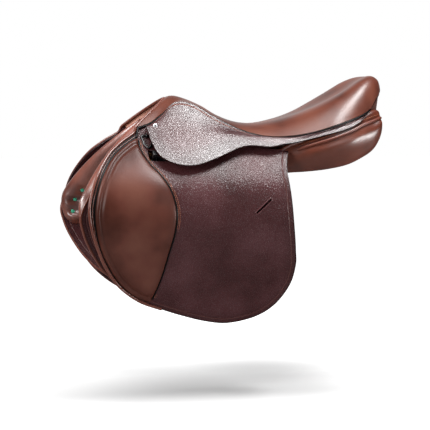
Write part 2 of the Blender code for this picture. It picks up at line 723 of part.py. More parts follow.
def build_stirrup_bars():
    """A plate riveted to the tree, with an arm out to a bar that is open at its rear end."""
    width = BAR_WIDTH / 2
    plate_in = TREE_OUT + PLATE_SEAT
    plate_out = plate_in + PLATE_THICK
    bar_out = BAR_DEPTH + BAR_THICK
    end = BAR_LENGTH + BAR_ARM
    for label, side in SIDES.items():
        ahead, down, out = frame = bar_frame(side)
        corner = flank(BAR_FRONT[0], BAR_FRONT[1], 0, side)
        shapes = (
            ((0, -width - PLATE_MARGIN, plate_in), (end, width + 1, plate_out)),
            ((1, -width, plate_out - 1), (BAR_ARM, width, bar_out)),
            ((2, 1 - width, BAR_DEPTH), (BAR_LENGTH - 2 * CATCH_LAP, width - 1, bar_out - 1)),
            ((BAR_LENGTH + 1, -width + 2, plate_out - 1), (end - 1, width - 2, BAR_DEPTH - GAP)),
        )
        parts = []
        for low, high in shapes:
            bm = bmesh.new()
            box(bm, corner, frame, low, high)
            parts.append(bm)
        join(f"stirrup_bar_{label}", parts, black_steel())
        catch = bmesh.new()
        start = BAR_LENGTH - CATCH_LAP
        low = (start, -width + 1, BAR_DEPTH)
        box(catch, corner, frame, low, (start + CATCH_LENGTH, width - 1, BAR_DEPTH + CATCH_THICK))
        bmesh.ops.bevel(catch, geom=catch.edges[:], offset=1.2, segments=1, affect="EDGES")
        pin = corner + ahead * (BAR_LENGTH + BAR_ARM / 2) + out * BAR_DEPTH
        solid(f"bar_catch_{label}", catch, black_steel(), pin)


def build_flaps():
    for label, side in SIDES.items():
        top = -1.0
        rear = (FLAP_REAR_X, fold_height(FLAP_REAR_X) + top)
        front = (FLAP_FRONT_X, fold_height(FLAP_FRONT_X) + top)
        middle = [(x, fold_height(x) + top) for x in (20, -60, -130)]
        outline = [front] + spline([(-200, 52.5), *FLAP_EDGE], 44) + [rear] + middle
        about = fold_point(0, side)
        sheet(f"flap_{label}", outline, FLAP_IN, FLAP_OUT, side, grain(),
              holes=(window_outline(), slit_outline()), about=about)
        outline = spline(KNEE_PAD_REAR, 16)[:-1] + spline(KNEE_PAD_FRONT, 20)[:-1]
        base = FLAP_OUT + GAP
        sheet(f"knee_pad_{label}", outline, base, base + KNEE_PAD_EDGE, side, calf(),
              crown=KNEE_PAD_CROWN, reach=34, cell=17, about=about)
        edge = spline([(-196, 50), *FLAP_EDGE[:13]], 26)
        path = [flank(x + 2.5, z + 0.5, FLAP_OUT + BEAD_R + GAP, side) for x, z in edge]
        tube(f"flap_bead_{label}", path, BEAD_R, piping(), about)


def build_skirts():
    for label, side in SIDES.items():
        about = fold_point(0, side)
        front = (LOBE_FRONT_X, fold_height(LOBE_FRONT_X))
        tail = (SKIRT_TAIL_X, fold_height(SKIRT_TAIL_X))
        top = [(x, fold_height(x)) for x in (40, 0, -40, -80, -120, -150)]
        outline = [front] + spline([*LOBE_EDGE, (SKIRT_TAIL_X, fold_height(SKIRT_TAIL_X) - 2.5)], 24) + [tail] + top
        sheet(f"skirt_{label}", outline, SKIRT_IN, SKIRT_OUT, side, grain(), skive=SKIVED_EDGE, about=about)
        skirt_top(label, side)


def off_edge(edge, along_edge, inside, out, lead):
    """A point this far beyond the middle of the seat cover's cut edge, square to the edge."""
    beyond = along_edge.cross(out).normalized()
    if beyond.dot(edge - inside) < 0:
        beyond = -beyond
    return edge - out * (COVER_THICK / 2) + beyond * lead


def below_edge(along, side, drop):
    """A point under the seat cover's side edge."""
    edge = seat_surface(along, side)
    run = seat_surface(min(along + 0.004, 1), side) - seat_surface(max(along - 0.004, 0), side)
    return off_edge(edge, run, seat_surface(along, side * 0.98), seat_out(along, side), drop)


def end_edge(along, across, lead):
    """A point beyond the seat cover's front edge, at 0 along, or its back edge, at 1."""
    edge = seat_surface(along, across)
    run = seat_surface(along, across + 0.01) - seat_surface(along, across - 0.01)
    inside = seat_surface(0.01 if along == 0 else 0.99, across)
    return off_edge(edge, run, inside, seat_out(along, across), lead)


def skirt_top(label, side):
    """The fixed upper skirt, ruled from the seat's welt down to the fold and the tail's edge."""
    places = [line for line in RIB_LINES if line < 0.81]
    upper = [below_edge(along, side, 2 * (WELT_R + SEAT_GAP) + SEAT_GAP + GAP) for along in places]
    keys = [fold_point(x, side) for x in (LOBE_FRONT_X - 12, -140, -100, -60, -20, 20, 50, 70, 80)]
    keys += [Vector((x, side * half, z)) for x, half, z in TAIL_EDGE]
    lower = [Vector(p) for p in spline([k[:] for k in keys], len(places))]
    rings = []
    for high, low in zip(upper, lower):
        run = (low - high).normalized()
        out = run.cross(Vector((1, 0, 0))).normalized()
        if out.y * side < 0:
            out = -out
        bottom = low - run * FOLD_GAP
        knee = bottom.lerp(high, min(SKIVE_REACH / (high - bottom).length, 0.5))
        half, thin = out * SKIRT_THICK / 2, out * SKIVED_EDGE / 2
        rings.append([high + half, knee + half, bottom + thin, bottom - thin, knee - half, high - half])
    loft(f"skirt_top_{label}", rings, grain())


def build_trim():
    for label, side in SIDES.items():
        lead = WELT_R + SEAT_GAP
        path = [below_edge(along, side, lead) for along in RIB_LINES if along < 0.86]
        path += [end_edge(1, side * across, lead + GAP) for across in (0.8, 0.65, 0.5, 0.35, 0.2, 0.02)]
        tube(f"seat_welt_{label}", path, WELT_R, black_piping())
        out = flank_out(fold_height(NAIL_X), side)
        bm = bmesh.new()
        bmesh.ops.create_uvsphere(bm, u_segments=14, v_segments=8, radius=NAIL_R)
        bmesh.ops.delete(bm, geom=[v for v in bm.verts if v.co.z < -1e-4], context="VERTS")
        bmesh.ops.contextual_create(bm, geom=[e for e in bm.edges if e.is_boundary])
        turn = out.to_track_quat("Z", "Y").to_matrix().to_4x4()
        squash = Matrix.Diagonal((1, 1, NAIL_RISE / NAIL_R, 1))
        place = nail_place(side)
        bmesh.ops.transform(bm, matrix=Matrix.Translation(place) @ turn @ squash, verts=bm.verts)
        solid(f"skirt_nail_{label}", bm, bright_steel())
    path = [end_edge(0, across, BEAD_R + SEAT_GAP) for across in lines_within(CROSS_LINES, (-0.94, 0.94))]
    tube("head_welt", path, BEAD_R, piping())


def nail_place(side):
    """Where the nail's head rests on the upper skirt, a little above the fold."""
    high = seat_surface(0.06, side)
    low = fold_point(NAIL_X, side)
    run = (low - high).normalized()
    out = run.cross(Vector((1, 0, 0))).normalized()
    if out.y * side < 0:
        out = -out
    return low - run * NAIL_ABOVE_FOLD + out * (SKIRT_THICK / 2 + GAP)


def build_dees():
    for label, side in SIDES.items():
        height = fold_height(DEE_X) - DEE_FROM_FOLD
        depth = FLAP_OUT + GAP + DEE_WIRE_R
        pivot = flank(DEE_X, height, depth + 0.4, side)
        half = DEE_WIDTH / 2
        keys = [(-half, 0), (0, 0), (half, 0), (half, -6), (half * 0.72, -15), (0, -DEE_DROP),
                (-half * 0.72, -15), (-half, -6)]
        ring = [flank(DEE_X + x, height + z, depth + 0.4, side) for x, z in keys]
        tube(f"dee_{label}", ring, DEE_WIRE_R, black_steel(), pivot, 1, closed=True)
        out = flank_out(height, side)
        reach = DEE_WIRE_R + STAPLE_WIRE_R + 0.7
        foot = flank(DEE_X, height, FLAP_OUT + GAP, side)
        down = (flank(DEE_X, height - 1, depth, side) - flank(DEE_X, height, depth, side)).normalized()
        arch = []
        for step in range(9):
            turn = math.pi * step / 8
            arch.append(pivot + down * (reach * math.cos(turn)) + out * (reach * math.sin(turn)))
        rise = (pivot - foot).dot(out)
        arch = [arch[0] - out * rise] + arch + [arch[-1] - out * rise]
        tube(f"dee_staple_{label}", arch, STAPLE_WIRE_R, black_steel(), fold_point(0, side), 1)


for old in list(bpy.data.objects):
    bpy.data.objects.remove(old)
saddle = bpy.data.collections.new("jumping_saddle")
bpy.context.scene.collection.children.link(saddle)
build_seat()
build_facing()
build_tree()
build_panels()
build_blocks()
build_girthing()
build_stirrup_bars()
build_flaps()
build_skirts()
build_trim()
build_dees()
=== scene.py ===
"""Looks for a close-contact jumping saddle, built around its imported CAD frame.

The near side faces -Y and the cantle is towards +X. Sizes of the leather are millimetres, as on
a saddler's flat patterns, and become metres where a piece is made.
"""

import math

import bmesh
import bpy
import numpy as np
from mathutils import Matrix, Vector


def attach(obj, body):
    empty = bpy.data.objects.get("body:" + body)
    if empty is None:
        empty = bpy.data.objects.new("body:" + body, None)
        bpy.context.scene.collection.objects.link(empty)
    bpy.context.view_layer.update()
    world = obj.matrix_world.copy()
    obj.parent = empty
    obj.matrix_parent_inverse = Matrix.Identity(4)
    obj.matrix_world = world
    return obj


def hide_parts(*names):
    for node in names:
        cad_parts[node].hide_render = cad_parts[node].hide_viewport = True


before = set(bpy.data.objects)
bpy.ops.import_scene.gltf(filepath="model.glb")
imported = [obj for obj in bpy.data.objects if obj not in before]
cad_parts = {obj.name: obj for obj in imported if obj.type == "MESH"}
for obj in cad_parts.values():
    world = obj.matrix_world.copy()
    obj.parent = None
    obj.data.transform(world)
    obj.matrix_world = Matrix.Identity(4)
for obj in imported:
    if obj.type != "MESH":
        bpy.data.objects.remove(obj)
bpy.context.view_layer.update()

MM = 0.001
SIDES = {"near": -1, "off": 1}


# The seat: one piece of smooth calf, blocked damp over foam and webbing and drawn down all
# round to a welt. It dips in the middle and rises to a high cantle.
SEAT_RIBS = (
    (-121.5, 139.3, -189.0, 84.0, 84.0, 1.7, 1.55, 0),
    (-112.0, 142.0, -165.0, 78.0, 92.0, 1.8, 1.4, 0),
    (-100.0, 141.0, -140.0, 68.0, 109.0, 2.0, 1.6, 0),
    (-80.0, 134.5, -112.0, 59.0, 129.0, 2.2, 1.8, 0),
    (-54.4, 122.6, -80.0, 61.0, 125.0, 2.4, 2.0, 0),
    (-25.0, 105.0, -40.0, 73.0, 101.0, 2.6, 2.0, 0),
    (10.0, 93.3, 5.0, 86.0, 78.9, 2.8, 2.0, 0),
    (50.0, 92.3, 50.0, 98.0, 67.5, 2.8, 2.0, 1),
    (95.0, 103.5, 95.0, 109.0, 68.2, 2.8, 2.0, 4),
    (140.0, 120.5, 135.0, 119.0, 75.6, 3.0, 2.0, 8),
    (182.0, 142.0, 172.0, 125.0, 87.0, 3.4, 2.0, 12),
    (218.0, 162.0, 205.0, 120.0, 98.0, 3.8, 2.1, 13),
    (248.0, 178.5, 230.0, 110.0, 107.0, 4.0, 2.2, 9),
    (272.0, 182.5, 244.0, 101.0, 114.0, 4.0, 2.2, 2),
    (289.0, 173.6, 249.0, 97.0, 116.5, 4.0, 2.3, 0),
    (295.0, 156.0, 251.0, 95.5, 117.4, 4.0, 2.3, 0),
    (293.5, 149.0, 252.0, 95.0, 118.0, 4.0, 2.3, 0),
)
DISH_REACH = 0.82
SEAT_THICK = 3.0
WELT_R = 1.6
WELT_GAP = 0.6


def between(a, b, c, d, f):
    """A point between b and c, on the smooth curve through all four."""
    return 0.5 * (2 * b + (c - a) * f + (2 * a - 5 * b + 4 * c - d) * f**2 + (3 * b - 3 * c + d - a) * f**3)


def smooth_row(keys, place):
    """A row between the given ones, at a place from 0 to 1, on a smooth curve."""
    last = len(keys) - 1
    first = min(int(place * last), last - 1)
    b, c = np.array(keys[first], float), np.array(keys[first + 1], float)
    a = np.array(keys[first - 1], float) if first > 0 else 2 * b - c
    d = np.array(keys[first + 2], float) if first + 2 <= last else 2 * c - b
    return between(a, b, c, d, place * last - first)


def on_seat(along, across, depth=0.0):
    """A point of the seat, from the pommel at 0 to the cantle at 1 and from side to side."""
    mid_x, mid_z, edge_x, half, edge_z, square, plan, dish = smooth_row(SEAT_RIBS, along)
    out = abs(across)
    hollow = dish * math.cos(math.pi / 2 * min(out / DISH_REACH, 1)) ** 2
    point = Vector((
        edge_x + (mid_x - edge_x) * (1 - out**plan),
        half * across,
        edge_z + (mid_z - edge_z) * (1 - out**square) - hollow,
    ))
    return point - seat_up(along, across) * depth if depth else point


def seat_up(along, across):
    """The direction straight out of the seat."""
    u0, u1 = max(along - 0.004, 0), min(along + 0.004, 1)
    v0, v1 = max(across - 0.004, -1), min(across + 0.004, 1)
    run = on_seat(u1, across) - on_seat(u0, across)
    return run.cross(on_seat(along, v1) - on_seat(along, v0)).normalized()


def linear(colour):
    """An sRGB hex colour as linear red, green, blue and alpha."""
    parts = [int(colour[i : i + 2], 16) / 255 for i in (1, 3, 5)]
    return [c / 12.92 if c <= 0.04045 else ((c + 0.055) / 1.055) ** 2.4 for c in parts] + [1.0]


def add(tree, kind, inputs=None, **settings):
    """Adds a node to a material, sets it up and links its inputs."""
    made = tree.nodes.new("ShaderNode" + kind)
    for name, value in settings.items():
        setattr(made, name, value)
    for name, value in (inputs or {}).items():
        if isinstance(value, bpy.types.NodeSocket):
            tree.links.new(value, made.inputs[name])
        else:
            made.inputs[name].default_value = value
    return made


def new_finish(name):
    """A fresh material: its tree, its shader and the Object coordinates."""
    made = bpy.data.materials.new(name)
    made.use_nodes = True
    tree = made.node_tree
    return made, tree, tree.nodes["Principled BSDF"], add(tree, "TexCoord").outputs["Object"]


def ramp(tree, value, low, high, at_low=0.0, at_high=1.0, soft=False):
    """Maps a value's range from low to high onto another one, with eased ends where it is soft."""
    made = add(tree, "MapRange", {"Value": value, "From Min": low, "From Max": high, "To Min": at_low,
                                  "To Max": at_high}, interpolation_type="SMOOTHSTEP" if soft else "LINEAR")
    return made.outputs["Result"]


def maths(tree, operation, *values):
    """The result of a Math node on these values."""
    return add(tree, "Math", dict(enumerate(values)), operation=operation).outputs[0]


def wire(tree, shader, **sockets):
    """Links what is given to the shader's sockets, named with _ for each space."""
    for socket, value in sockets.items():
        tree.links.new(value, shader.inputs[socket.replace("_", " ")])


# The sockets of a Mix node that hold and give its colours
MIX_A, MIX_B, MIX_RESULT = 6, 7, 2


def mixed(tree, share, first, second):
    """Mixes a share of the second colour into the first one."""
    made = add(tree, "Mix", {"Factor": share, MIX_A: first, MIX_B: second}, data_type="RGBA")
    return made.outputs[MIX_RESULT]


def tones(tree, value, stops):
    """Colours a value from 0 to 1 by the colour at each of these places."""
    made = add(tree, "ValToRGB", {"Fac": value})
    held = made.color_ramp.elements
    held[0].position, held[0].color = stops[0][0], linear(stops[0][1])
    held[1].position, held[1].color = stops[-1][0], linear(stops[-1][1])
    for place, colour in stops[1:-1]:
        held.new(place).color = linear(colour)
    return made.outputs["Color"]


# The wax and resin on finished leather bend light more than the bare hide does
FINISH_IOR = 1.75
# Distances from an edge: dyed; darker from and to, a burnish together with painted shade; and away from every
# edge
DYED_MM = (0.4, 2.6)
BURNISH_AND_SHADE_MM = (2.0, 26.0)
FAR_MM = 50.0
# A crease's half width, and how deep it goes beside a pebble's height
CREASE_HALF_MM = 1.9
CREASE_DEEP = 3.0


def leather(name, dark, mid, light, roughness, grain_mm, grain_bump, shine, edge_dye=None, crease=None):
    """Finished leather: soft blotches of dye, pebbles with dark valleys, and a dyed, creased edge.

    The edge, the crease and the darker band beside a seam, part burnish and part painted shade,
    are read from the piece's own distance from its edge, in millimetres.
    """
    made, tree, shader, place = new_finish(name)
    stain = add(tree, "TexNoise", {"Vector": place, "Scale": 13.0, "Detail": 3.0, "Roughness": 0.5})
    blotch = stain.outputs["Fac"]
    dye = tones(tree, blotch, ((0.3, dark), (0.5, mid), (0.7, light)))
    drift = add(tree, "TexNoise", {"Vector": place, "Scale": 600.0 / grain_mm, "Detail": 1.0})
    pull = add(tree, "VectorMath", {0: drift.outputs["Color"], "Scale": grain_mm * MM * 0.3},
               operation="SCALE")
    bent = add(tree, "VectorMath", {0: place, 1: pull.outputs["Vector"]}, operation="ADD")
    cells = add(tree, "TexVoronoi", {"Vector": bent.outputs["Vector"], "Scale": 1000.0 / grain_mm},
                feature="DISTANCE_TO_EDGE")
    pebble = ramp(tree, cells.outputs["Distance"], 0.0, 0.5, soft=True)
    fine = add(tree, "TexNoise", {"Vector": place, "Scale": 1400.0, "Detail": 2.0})
    surface = maths(tree, "ADD", pebble, maths(tree, "MULTIPLY", fine.outputs["Fac"], 0.5))
    valley = ramp(tree, pebble, 0.0, 1.0, grain_bump * 0.5, 0.0)
    colour = mixed(tree, valley, dye, linear(dark))
    edge = add(tree, "Attribute", attribute_name="edge_mm").outputs["Fac"]
    # Darker towards each edge and seam: partly burnish, partly painted shade
    colour = mixed(tree, ramp(tree, edge, *BURNISH_AND_SHADE_MM, 0.6, 0.0, soft=True), colour, linear(dark))
    if edge_dye:
        colour = mixed(tree, ramp(tree, edge, *DYED_MM, 0.9, 0.0, soft=True), colour, linear(edge_dye))
    if crease:
        at_mm, tint = crease
        near = maths(tree, "ABSOLUTE", maths(tree, "SUBTRACT", edge, at_mm))
        groove = ramp(tree, near, 0.0, CREASE_HALF_MM, 1.0, 0.0, soft=True)
        colour = mixed(tree, maths(tree, "MULTIPLY", groove, 0.85), colour, linear(tint))
        surface = maths(tree, "ADD", surface, maths(tree, "MULTIPLY", groove, -CREASE_DEEP))
    bump = add(tree, "Bump", {"Height": surface, "Strength": grain_bump, "Distance": grain_mm * MM * 0.12})
    gloss = ramp(tree, blotch, 0.3, 0.7, roughness - 0.03, roughness + 0.04)
    gleam = ramp(tree, pebble, 0.0, 1.0, shine * (1 - grain_bump), shine)
    wire(tree, shader, Base_Color=colour, Roughness=gloss, Normal=bump.outputs["Normal"],
         Specular_IOR_Level=gleam)
    shader.inputs["IOR"].default_value = FINISH_IOR
    return made


# Smooth calf, drum-dyed brown and waxed: a fine grain and a broad, soft shine
calf = leather("calf_waxed", "#3A180E", "#55291C", "#623323", 0.38, 1.5, 0.10, 0.32, "#2A120C")
# The knee pad's calf: the same hide, dyed darker and left more matt, for grip
pad_calf = leather("pad_calf", "#3F1C13", "#582E24", "#643A2E", 0.40, 1.5, 0.10, 0.14, "#2A120C")


def face_out(made, towards):
    """Flips a sheet that looks the other way as a whole."""
    score = sum(face.normal.dot(Vector(towards)) * face.area for face in made.data.polygons)
    if score < 0:
        made.data.flip_normals()


def measure_edge(made, distances):
    """Stores each point's distance from the cut edge, in millimetres."""
    held = made.data.attributes.new("edge_mm", "FLOAT", "POINT")
    held.data.foreach_set("value", np.array(distances, np.float32))


def grid(name, columns, rows):
    """A fresh grid and its points' places, each from 0 to 1 along and across."""
    bpy.ops.object.select_all(action="DESELECT")
    bpy.ops.mesh.primitive_grid_add(x_subdivisions=columns, y_subdivisions=rows, size=2)
    made = bpy.context.object
    made.name = made.data.name = name
    return made, [(vertex.co.x / 2 + 0.5, vertex.co.y / 2 + 0.5) for vertex in made.data.vertices]


def laid(name, columns, rows, place, edge):
    """A grid with each point at place(u, v) and its distance from the edge kept."""
    made, flats = grid(name, columns, rows)
    measure_edge(made, [edge(u, v) if edge else FAR_MM for u, v in flats])
    for vertex, (u, v) in zip(made.data.vertices, flats):
        vertex.co = Vector(place(u, v)) * MM
    return made


def mend(merge=0.0, collapse=0.0, turn=True):
    """Welds the active mesh, closes what collapses, and turns its faces outwards."""
    bpy.ops.object.mode_set(mode="EDIT")
    bpy.ops.mesh.select_all(action="SELECT")
    if merge:
        bpy.ops.mesh.remove_doubles(threshold=merge)
    if collapse:
        bpy.ops.mesh.dissolve_degenerate(threshold=collapse)
        bpy.ops.mesh.fill_holes(sides=0)
    if turn:
        bpy.ops.mesh.normals_make_consistent(inside=False)
    bpy.ops.object.mode_set(mode="OBJECT")


def sheet(name, columns, rows, place, out, finish, thick, edge=None):
    """A leather sheet whose outer face is at place(u, v), with its edge distance kept."""
    made = laid(name, columns, rows, place, edge)
    mend(0.00002, turn=False)
    face_out(made, out)
    made.data.materials.append(finish)
    wall = made.modifiers.new("wall", "SOLIDIFY")
    wall.thickness = thick * MM
    wall.offset = -1
    wall.use_quality_normals = True
    bpy.ops.object.modifier_apply(modifier="wall")
    bpy.ops.object.shade_smooth_by_angle(angle=math.radians(50))
    return made


seat = sheet("seat", 120, 72, lambda u, v: on_seat(u, 2 * v - 1), (0, 0, 1), calf, SEAT_THICK)
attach(seat, "root")
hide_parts("seat_cover", "seat_foam")


# The seat's welt: a cord rolled in black leather and sewn into the seam all round.
def pick(made):
    """Selects this object alone and makes it the active one."""
    bpy.ops.object.select_all(action="DESELECT")
    made.select_set(True)
    bpy.context.view_layer.objects.active = made


def placed(name, data):
    """A new object that holds this data, selected on its own."""
    made = bpy.data.objects.new(name, data)
    bpy.context.scene.collection.objects.link(made)
    pick(made)
    return made


def bead(name, points, radius, finish, closed=False, steps=5):
    """A cord rolled in leather, along the points."""
    curve = bpy.data.curves.new(name, "CURVE")
    curve.dimensions = "3D"
    curve.bevel_depth = radius * MM
    curve.bevel_resolution = steps
    curve.use_fill_caps = not closed
    line = curve.splines.new("POLY")
    line.points.add(len(points) - 1)
    line.use_cyclic_u = closed
    for knot, point in zip(line.points, points):
        knot.co = (*(Vector(point) * MM), 1)
    placed(name, curve)
    bpy.ops.object.convert(target="MESH")
    made = bpy.context.object
    made.name = made.data.name = name
    mend(0.00001)
    made.data.materials.append(finish)
    bpy.ops.object.shade_smooth_by_angle(angle=math.radians(60))
    return made


def beyond(edge, run, inside, out, lead):
    """A point this far past the middle of the seat's cut edge, square to the edge."""
    away = run.cross(out).normalized()
    if away.dot(edge - inside) < 0:
        away = -away
    return edge - out * (SEAT_THICK / 2) + away * lead


def below_seat(along, side, drop):
    """A point under the seat's side edge."""
    run = on_seat(min(along + 0.004, 1), side) - on_seat(max(along - 0.004, 0), side)
    return beyond(on_seat(along, side), run, on_seat(along, side * 0.98), seat_up(along, side), drop)


def past_end(along, across, lead):
    """A point past the seat's front edge, at 0 along, or its back edge, at 1."""
    run = on_seat(along, across + 0.01) - on_seat(along, across - 0.01)
    inside = on_seat(0.01 if along == 0 else 0.99, across)
    return beyond(on_seat(along, across), run, inside, seat_up(along, across), lead)


# Thin black leather with a dull finish, rolled round a cord or laid flat as a band
black_welt = leather("welt_rolled_black", "#0A0808", "#100D0D", "#181413", 0.34, 1.2, 0.1, 0.11)
for label, side in SIDES.items():
    lead = WELT_R + WELT_GAP
    path = [below_seat(along, side, lead) for along in np.linspace(0, 0.86, 90)]
    path += [past_end(1, side * across, lead + 0.3) for across in np.linspace(0.84, 0.0, 24)]
    welt = bead(f"welt_{label}", path, WELT_R, black_welt)
    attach(welt, "root")
    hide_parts(f"seat_welt_{label}")


# The skirt: pebble-grained leather sewn under the seat's welt. Behind, it stays fixed and runs
# out to a point at the cantle; in front, its rounded lobe lifts off the stirrup bar.
FLANK_HALF_WIDTH = 157.6
# Above and below, the side leans in by so much per unit of height, from this height, this softly
FLANK_TOP = (1.05, -30, 16)
FLANK_FOOT = (0.5, -105, 25)
SKIRT_DEPTH = 40.0
SKIRT_THICK = 3.0
SKIRT_SWELL = 4.0
FOLD_FRONT = (-173.0, 54.3)
FOLD_REAR = (20.0, 31.3)
LOBE_EDGE = (
    (-173.5, 54.3), (-172.5, 46), (-169, 27), (-158.9, 7), (-139.5, -3.8), (-117, -8.3), (-90, -7),
    (-61, 0.3), (-34.6, 9.7), (-10, 19), (10, 22.5), (30, 21.5), (50, 20.5), (74, 24.8),
)
LOBE_FRONT_X, LOBE_REAR_X = -173.5, 74.0
# Where along the seat's side edge the skirt's seam starts, and how much of the edge it takes
SEAM_START, SEAM_RUN = 0.043, 0.757
TAIL_EDGE = (
    (118.6, 126.0, 60.9), (153.6, 130.0, 69.6), (189.7, 130.5, 79.3), (217.1, 123.0, 90.5),
    (238.0, 108.0, 103.0),
)


def softplus(value, soft):
    """0 below, the value above, and a soft bend in between."""
    return soft * np.logaddexp(0, value / soft)


def on_flank(x, height, depth, side):
    """The point of a flat pattern, laid on the horse's side at this depth."""
    top, top_z, top_soft = FLANK_TOP
    foot, foot_z, foot_soft = FLANK_FOOT
    above, below = height - top_z, foot_z - height
    half = FLANK_HALF_WIDTH - top * softplus(above, top_soft) - foot * softplus(below, foot_soft)
    slope = -top / (1 + math.exp(-above / top_soft)) + foot / (1 + math.exp(-below / foot_soft))
    out = Vector((0, 1, -slope)).normalized()
    return Vector((x, side * (half + out.y * depth), height + out.z * depth))


def flank_out(height, side):
    """The direction straight out of the flank at this height."""
    return (on_flank(0, height, 1, side) - on_flank(0, height, 0, side)).normalized()


def fold_height(x):
    """Height of the fold line on the flat pattern."""
    (x0, z0), (x1, z1) = FOLD_FRONT, FOLD_REAR
    return z0 + (z1 - z0) * (x - x0) / (x1 - x0)


def fold_point(x, side):
    """A point of the fold, a straight line in the middle of the skirt's thickness."""
    first = on_flank(*FOLD_FRONT, SKIRT_DEPTH - SKIRT_THICK / 2, side)
    last = on_flank(*FOLD_REAR, SKIRT_DEPTH - SKIRT_THICK / 2, side)
    return first + (last - first) * ((x - first.x) / (last.x - first.x))


def skirt_swell(x, z):
    """How far the stirrup bar and its leather push the skirt out, most of all along the fold."""
    below = max(fold_height(x) - z, 0)
    return SKIRT_SWELL * math.exp(-(((x + 95) / 65) ** 2)) * max(1 - (below / 52) ** 2, 0)


def edge_distance(outline):
    """A function that gives a flat point's distance from the outline."""
    a = np.array(outline, float)
    b = a[1:]
    a = a[:-1]

    def away(x, z):
        along = ((np.array((x, z)) - a) * (b - a)).sum(1) / np.maximum(((b - a) ** 2).sum(1), 1e-9)
        near = a + np.clip(along, 0, 1)[:, None] * (b - a)
        return float(np.sqrt(((np.array((x, z)) - near) ** 2).sum(1)).min())

    return away


# The skirt's leather: plum, with a pebble grain under a glossy finish that the light fills, and
# on its upper part a row creased in with a hot iron beside the seam
plum_grain = leather("skirt_pebble_grain", "#2B1315", "#442224", "#523032", 0.34, 2.6, 0.75, 1.0, "#2A1112")
plum_creased = leather("skirt_top_creased", "#2B1315", "#442224", "#523032", 0.34, 2.6, 0.75, 1.0, "#1A0D0D",
                       (7.5, "#7E4535"))
for label, side in SIDES.items():
    lobe_edge = [smooth_row(LOBE_EDGE, t) for t in np.linspace(0, 1, 160)]
    away = edge_distance(lobe_edge)

    def lobe_flat(u, v):
        top_x = LOBE_FRONT_X + (LOBE_REAR_X - LOBE_FRONT_X) * u
        low = smooth_row(LOBE_EDGE, u)
        high = np.array((top_x, fold_height(top_x)))
        return high + (low - high) * v

    def lobe(u, v):
        x, z = lobe_flat(u, v)
        below = max(fold_height(x) - z, 0)
        seated = fold_point(x, side) + flank_out(fold_height(x), side) * (SKIRT_THICK / 2)
        shift = seated - on_flank(x, fold_height(x), SKIRT_DEPTH, side)
        return on_flank(x, z, SKIRT_DEPTH + skirt_swell(x, z), side) + shift * math.exp(-below / 14)

    skirt = sheet(f"skirt_lobe_{label}", 150, 34, lobe, (0, side, 0.3), plum_grain,
                  SKIRT_THICK, lambda u, v: away(*lobe_flat(u, v)))
    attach(skirt, f"skirt_{label}")
    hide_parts(f"skirt_{label}")

    keys = []
    for x in (-173.8, -162, -145, -122, -100, -78, -55, -30, 0, 35, 74):
        outer = SKIRT_THICK / 2 + skirt_swell(x, fold_height(x))
        keys.append(fold_point(x, side) + flank_out(fold_height(x), side) * outer)
    keys += [Vector((x, side * half, z)) for x, half, z in TAIL_EDGE]

    def upper(u, v):
        along = SEAM_START + SEAM_RUN * u
        high = below_seat(along, side, 2 * (WELT_R + WELT_GAP) + 0.3)
        high += seat_up(along, side) * (SKIRT_THICK / 2)
        low = Vector(smooth_row(keys, u))
        reach = (low - high).length
        down = (on_flank(0, 28, 0, side) - on_flank(0, 32, 0, side)).normalized()
        run = (low - high).normalized()
        leaning = 0.6 + 0.4 * min(max((70 - low.x) / 60, 0), 1)
        start, end = run * reach, (run * (1 - leaning) + down * leaning) * reach
        return (high * (2 * v**3 - 3 * v**2 + 1) + start * (v**3 - 2 * v**2 + v)
                + low * (3 * v**2 - 2 * v**3) + end * (v**3 - v**2))

    def tail_edge(u, v):
        low, high = upper(u, 1), upper(u, 0)
        from_tail = (upper(u, v) - low).length if low.x > LOBE_REAR_X else FAR_MM
        return min(from_tail if from_tail < 4 else from_tail + 8, (upper(u, v) - high).length + 1.5)

    top = sheet(f"skirt_upper_{label}", 170, 20, upper, (0, side, 0.6), plum_creased,
                SKIRT_THICK, tail_edge)
    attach(top, "root")
    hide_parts(f"skirt_top_{label}")


# The flap: one large panel of the same leather, hung from the tree, with a window for the
# stirrup bar, a slit for the leather's keeper and a creased, dyed edge.
FLAP_DEPTH = 24.5
FLAP_THICK = 4.5
FLAP_FRONT_X, FLAP_REAR_X = -188.0, 84.0
FLAP_EDGE = (
    (-200, 52.5), (-207, 48), (-223.5, 37.8), (-248.4, 17.4), (-270.4, -11), (-285.5, -37), (-291.8, -61),
    (-288.3, -87), (-278.9, -114), (-263, -148), (-243.5, -177), (-220, -200), (-191, -219),
    (-154, -233), (-116, -246), (-68, -259.5), (-24, -265), (26, -255), (61, -232),
    (84, -194), (90, -156), (86.6, -129), (79, -80), (73.5, -24), (75.4, -1), (84, 22.5),
)
BAR_WINDOW = ((-176, 24.8), (-82, 20.2), (-82, 2.9), (-176, 7.3))
KEEPER_SLIT = ((36.4, -50.2), (10.2, -68.4))
KEEPER_SLIT_WIDTH = 3.0


def punch(made, corners, side, low, high):
    """Cuts a straight-sided opening through a sheet between two depths, from its flat corners."""
    bm = bmesh.new()
    rings = [[bm.verts.new(on_flank(x, z, depth, side) * MM) for x, z in corners] for depth in (low, high)]
    bm.faces.new(rings[0])
    bm.faces.new(rings[1][::-1])
    for i in range(len(corners)):
        j = (i + 1) % len(corners)
        bm.faces.new((rings[0][i], rings[0][j], rings[1][j], rings[1][i]))
    bmesh.ops.recalc_face_normals(bm, faces=bm.faces)
    mesh = bpy.data.meshes.new("punch")
    bm.to_mesh(mesh)
    bm.free()
    cutter = placed("punch", mesh)
    cut = made.modifiers.new("cut", "BOOLEAN")
    cut.operation = "DIFFERENCE"
    cut.object = cutter
    pick(made)
    bpy.ops.object.modifier_apply(modifier="cut")
    bpy.data.objects.remove(cutter)


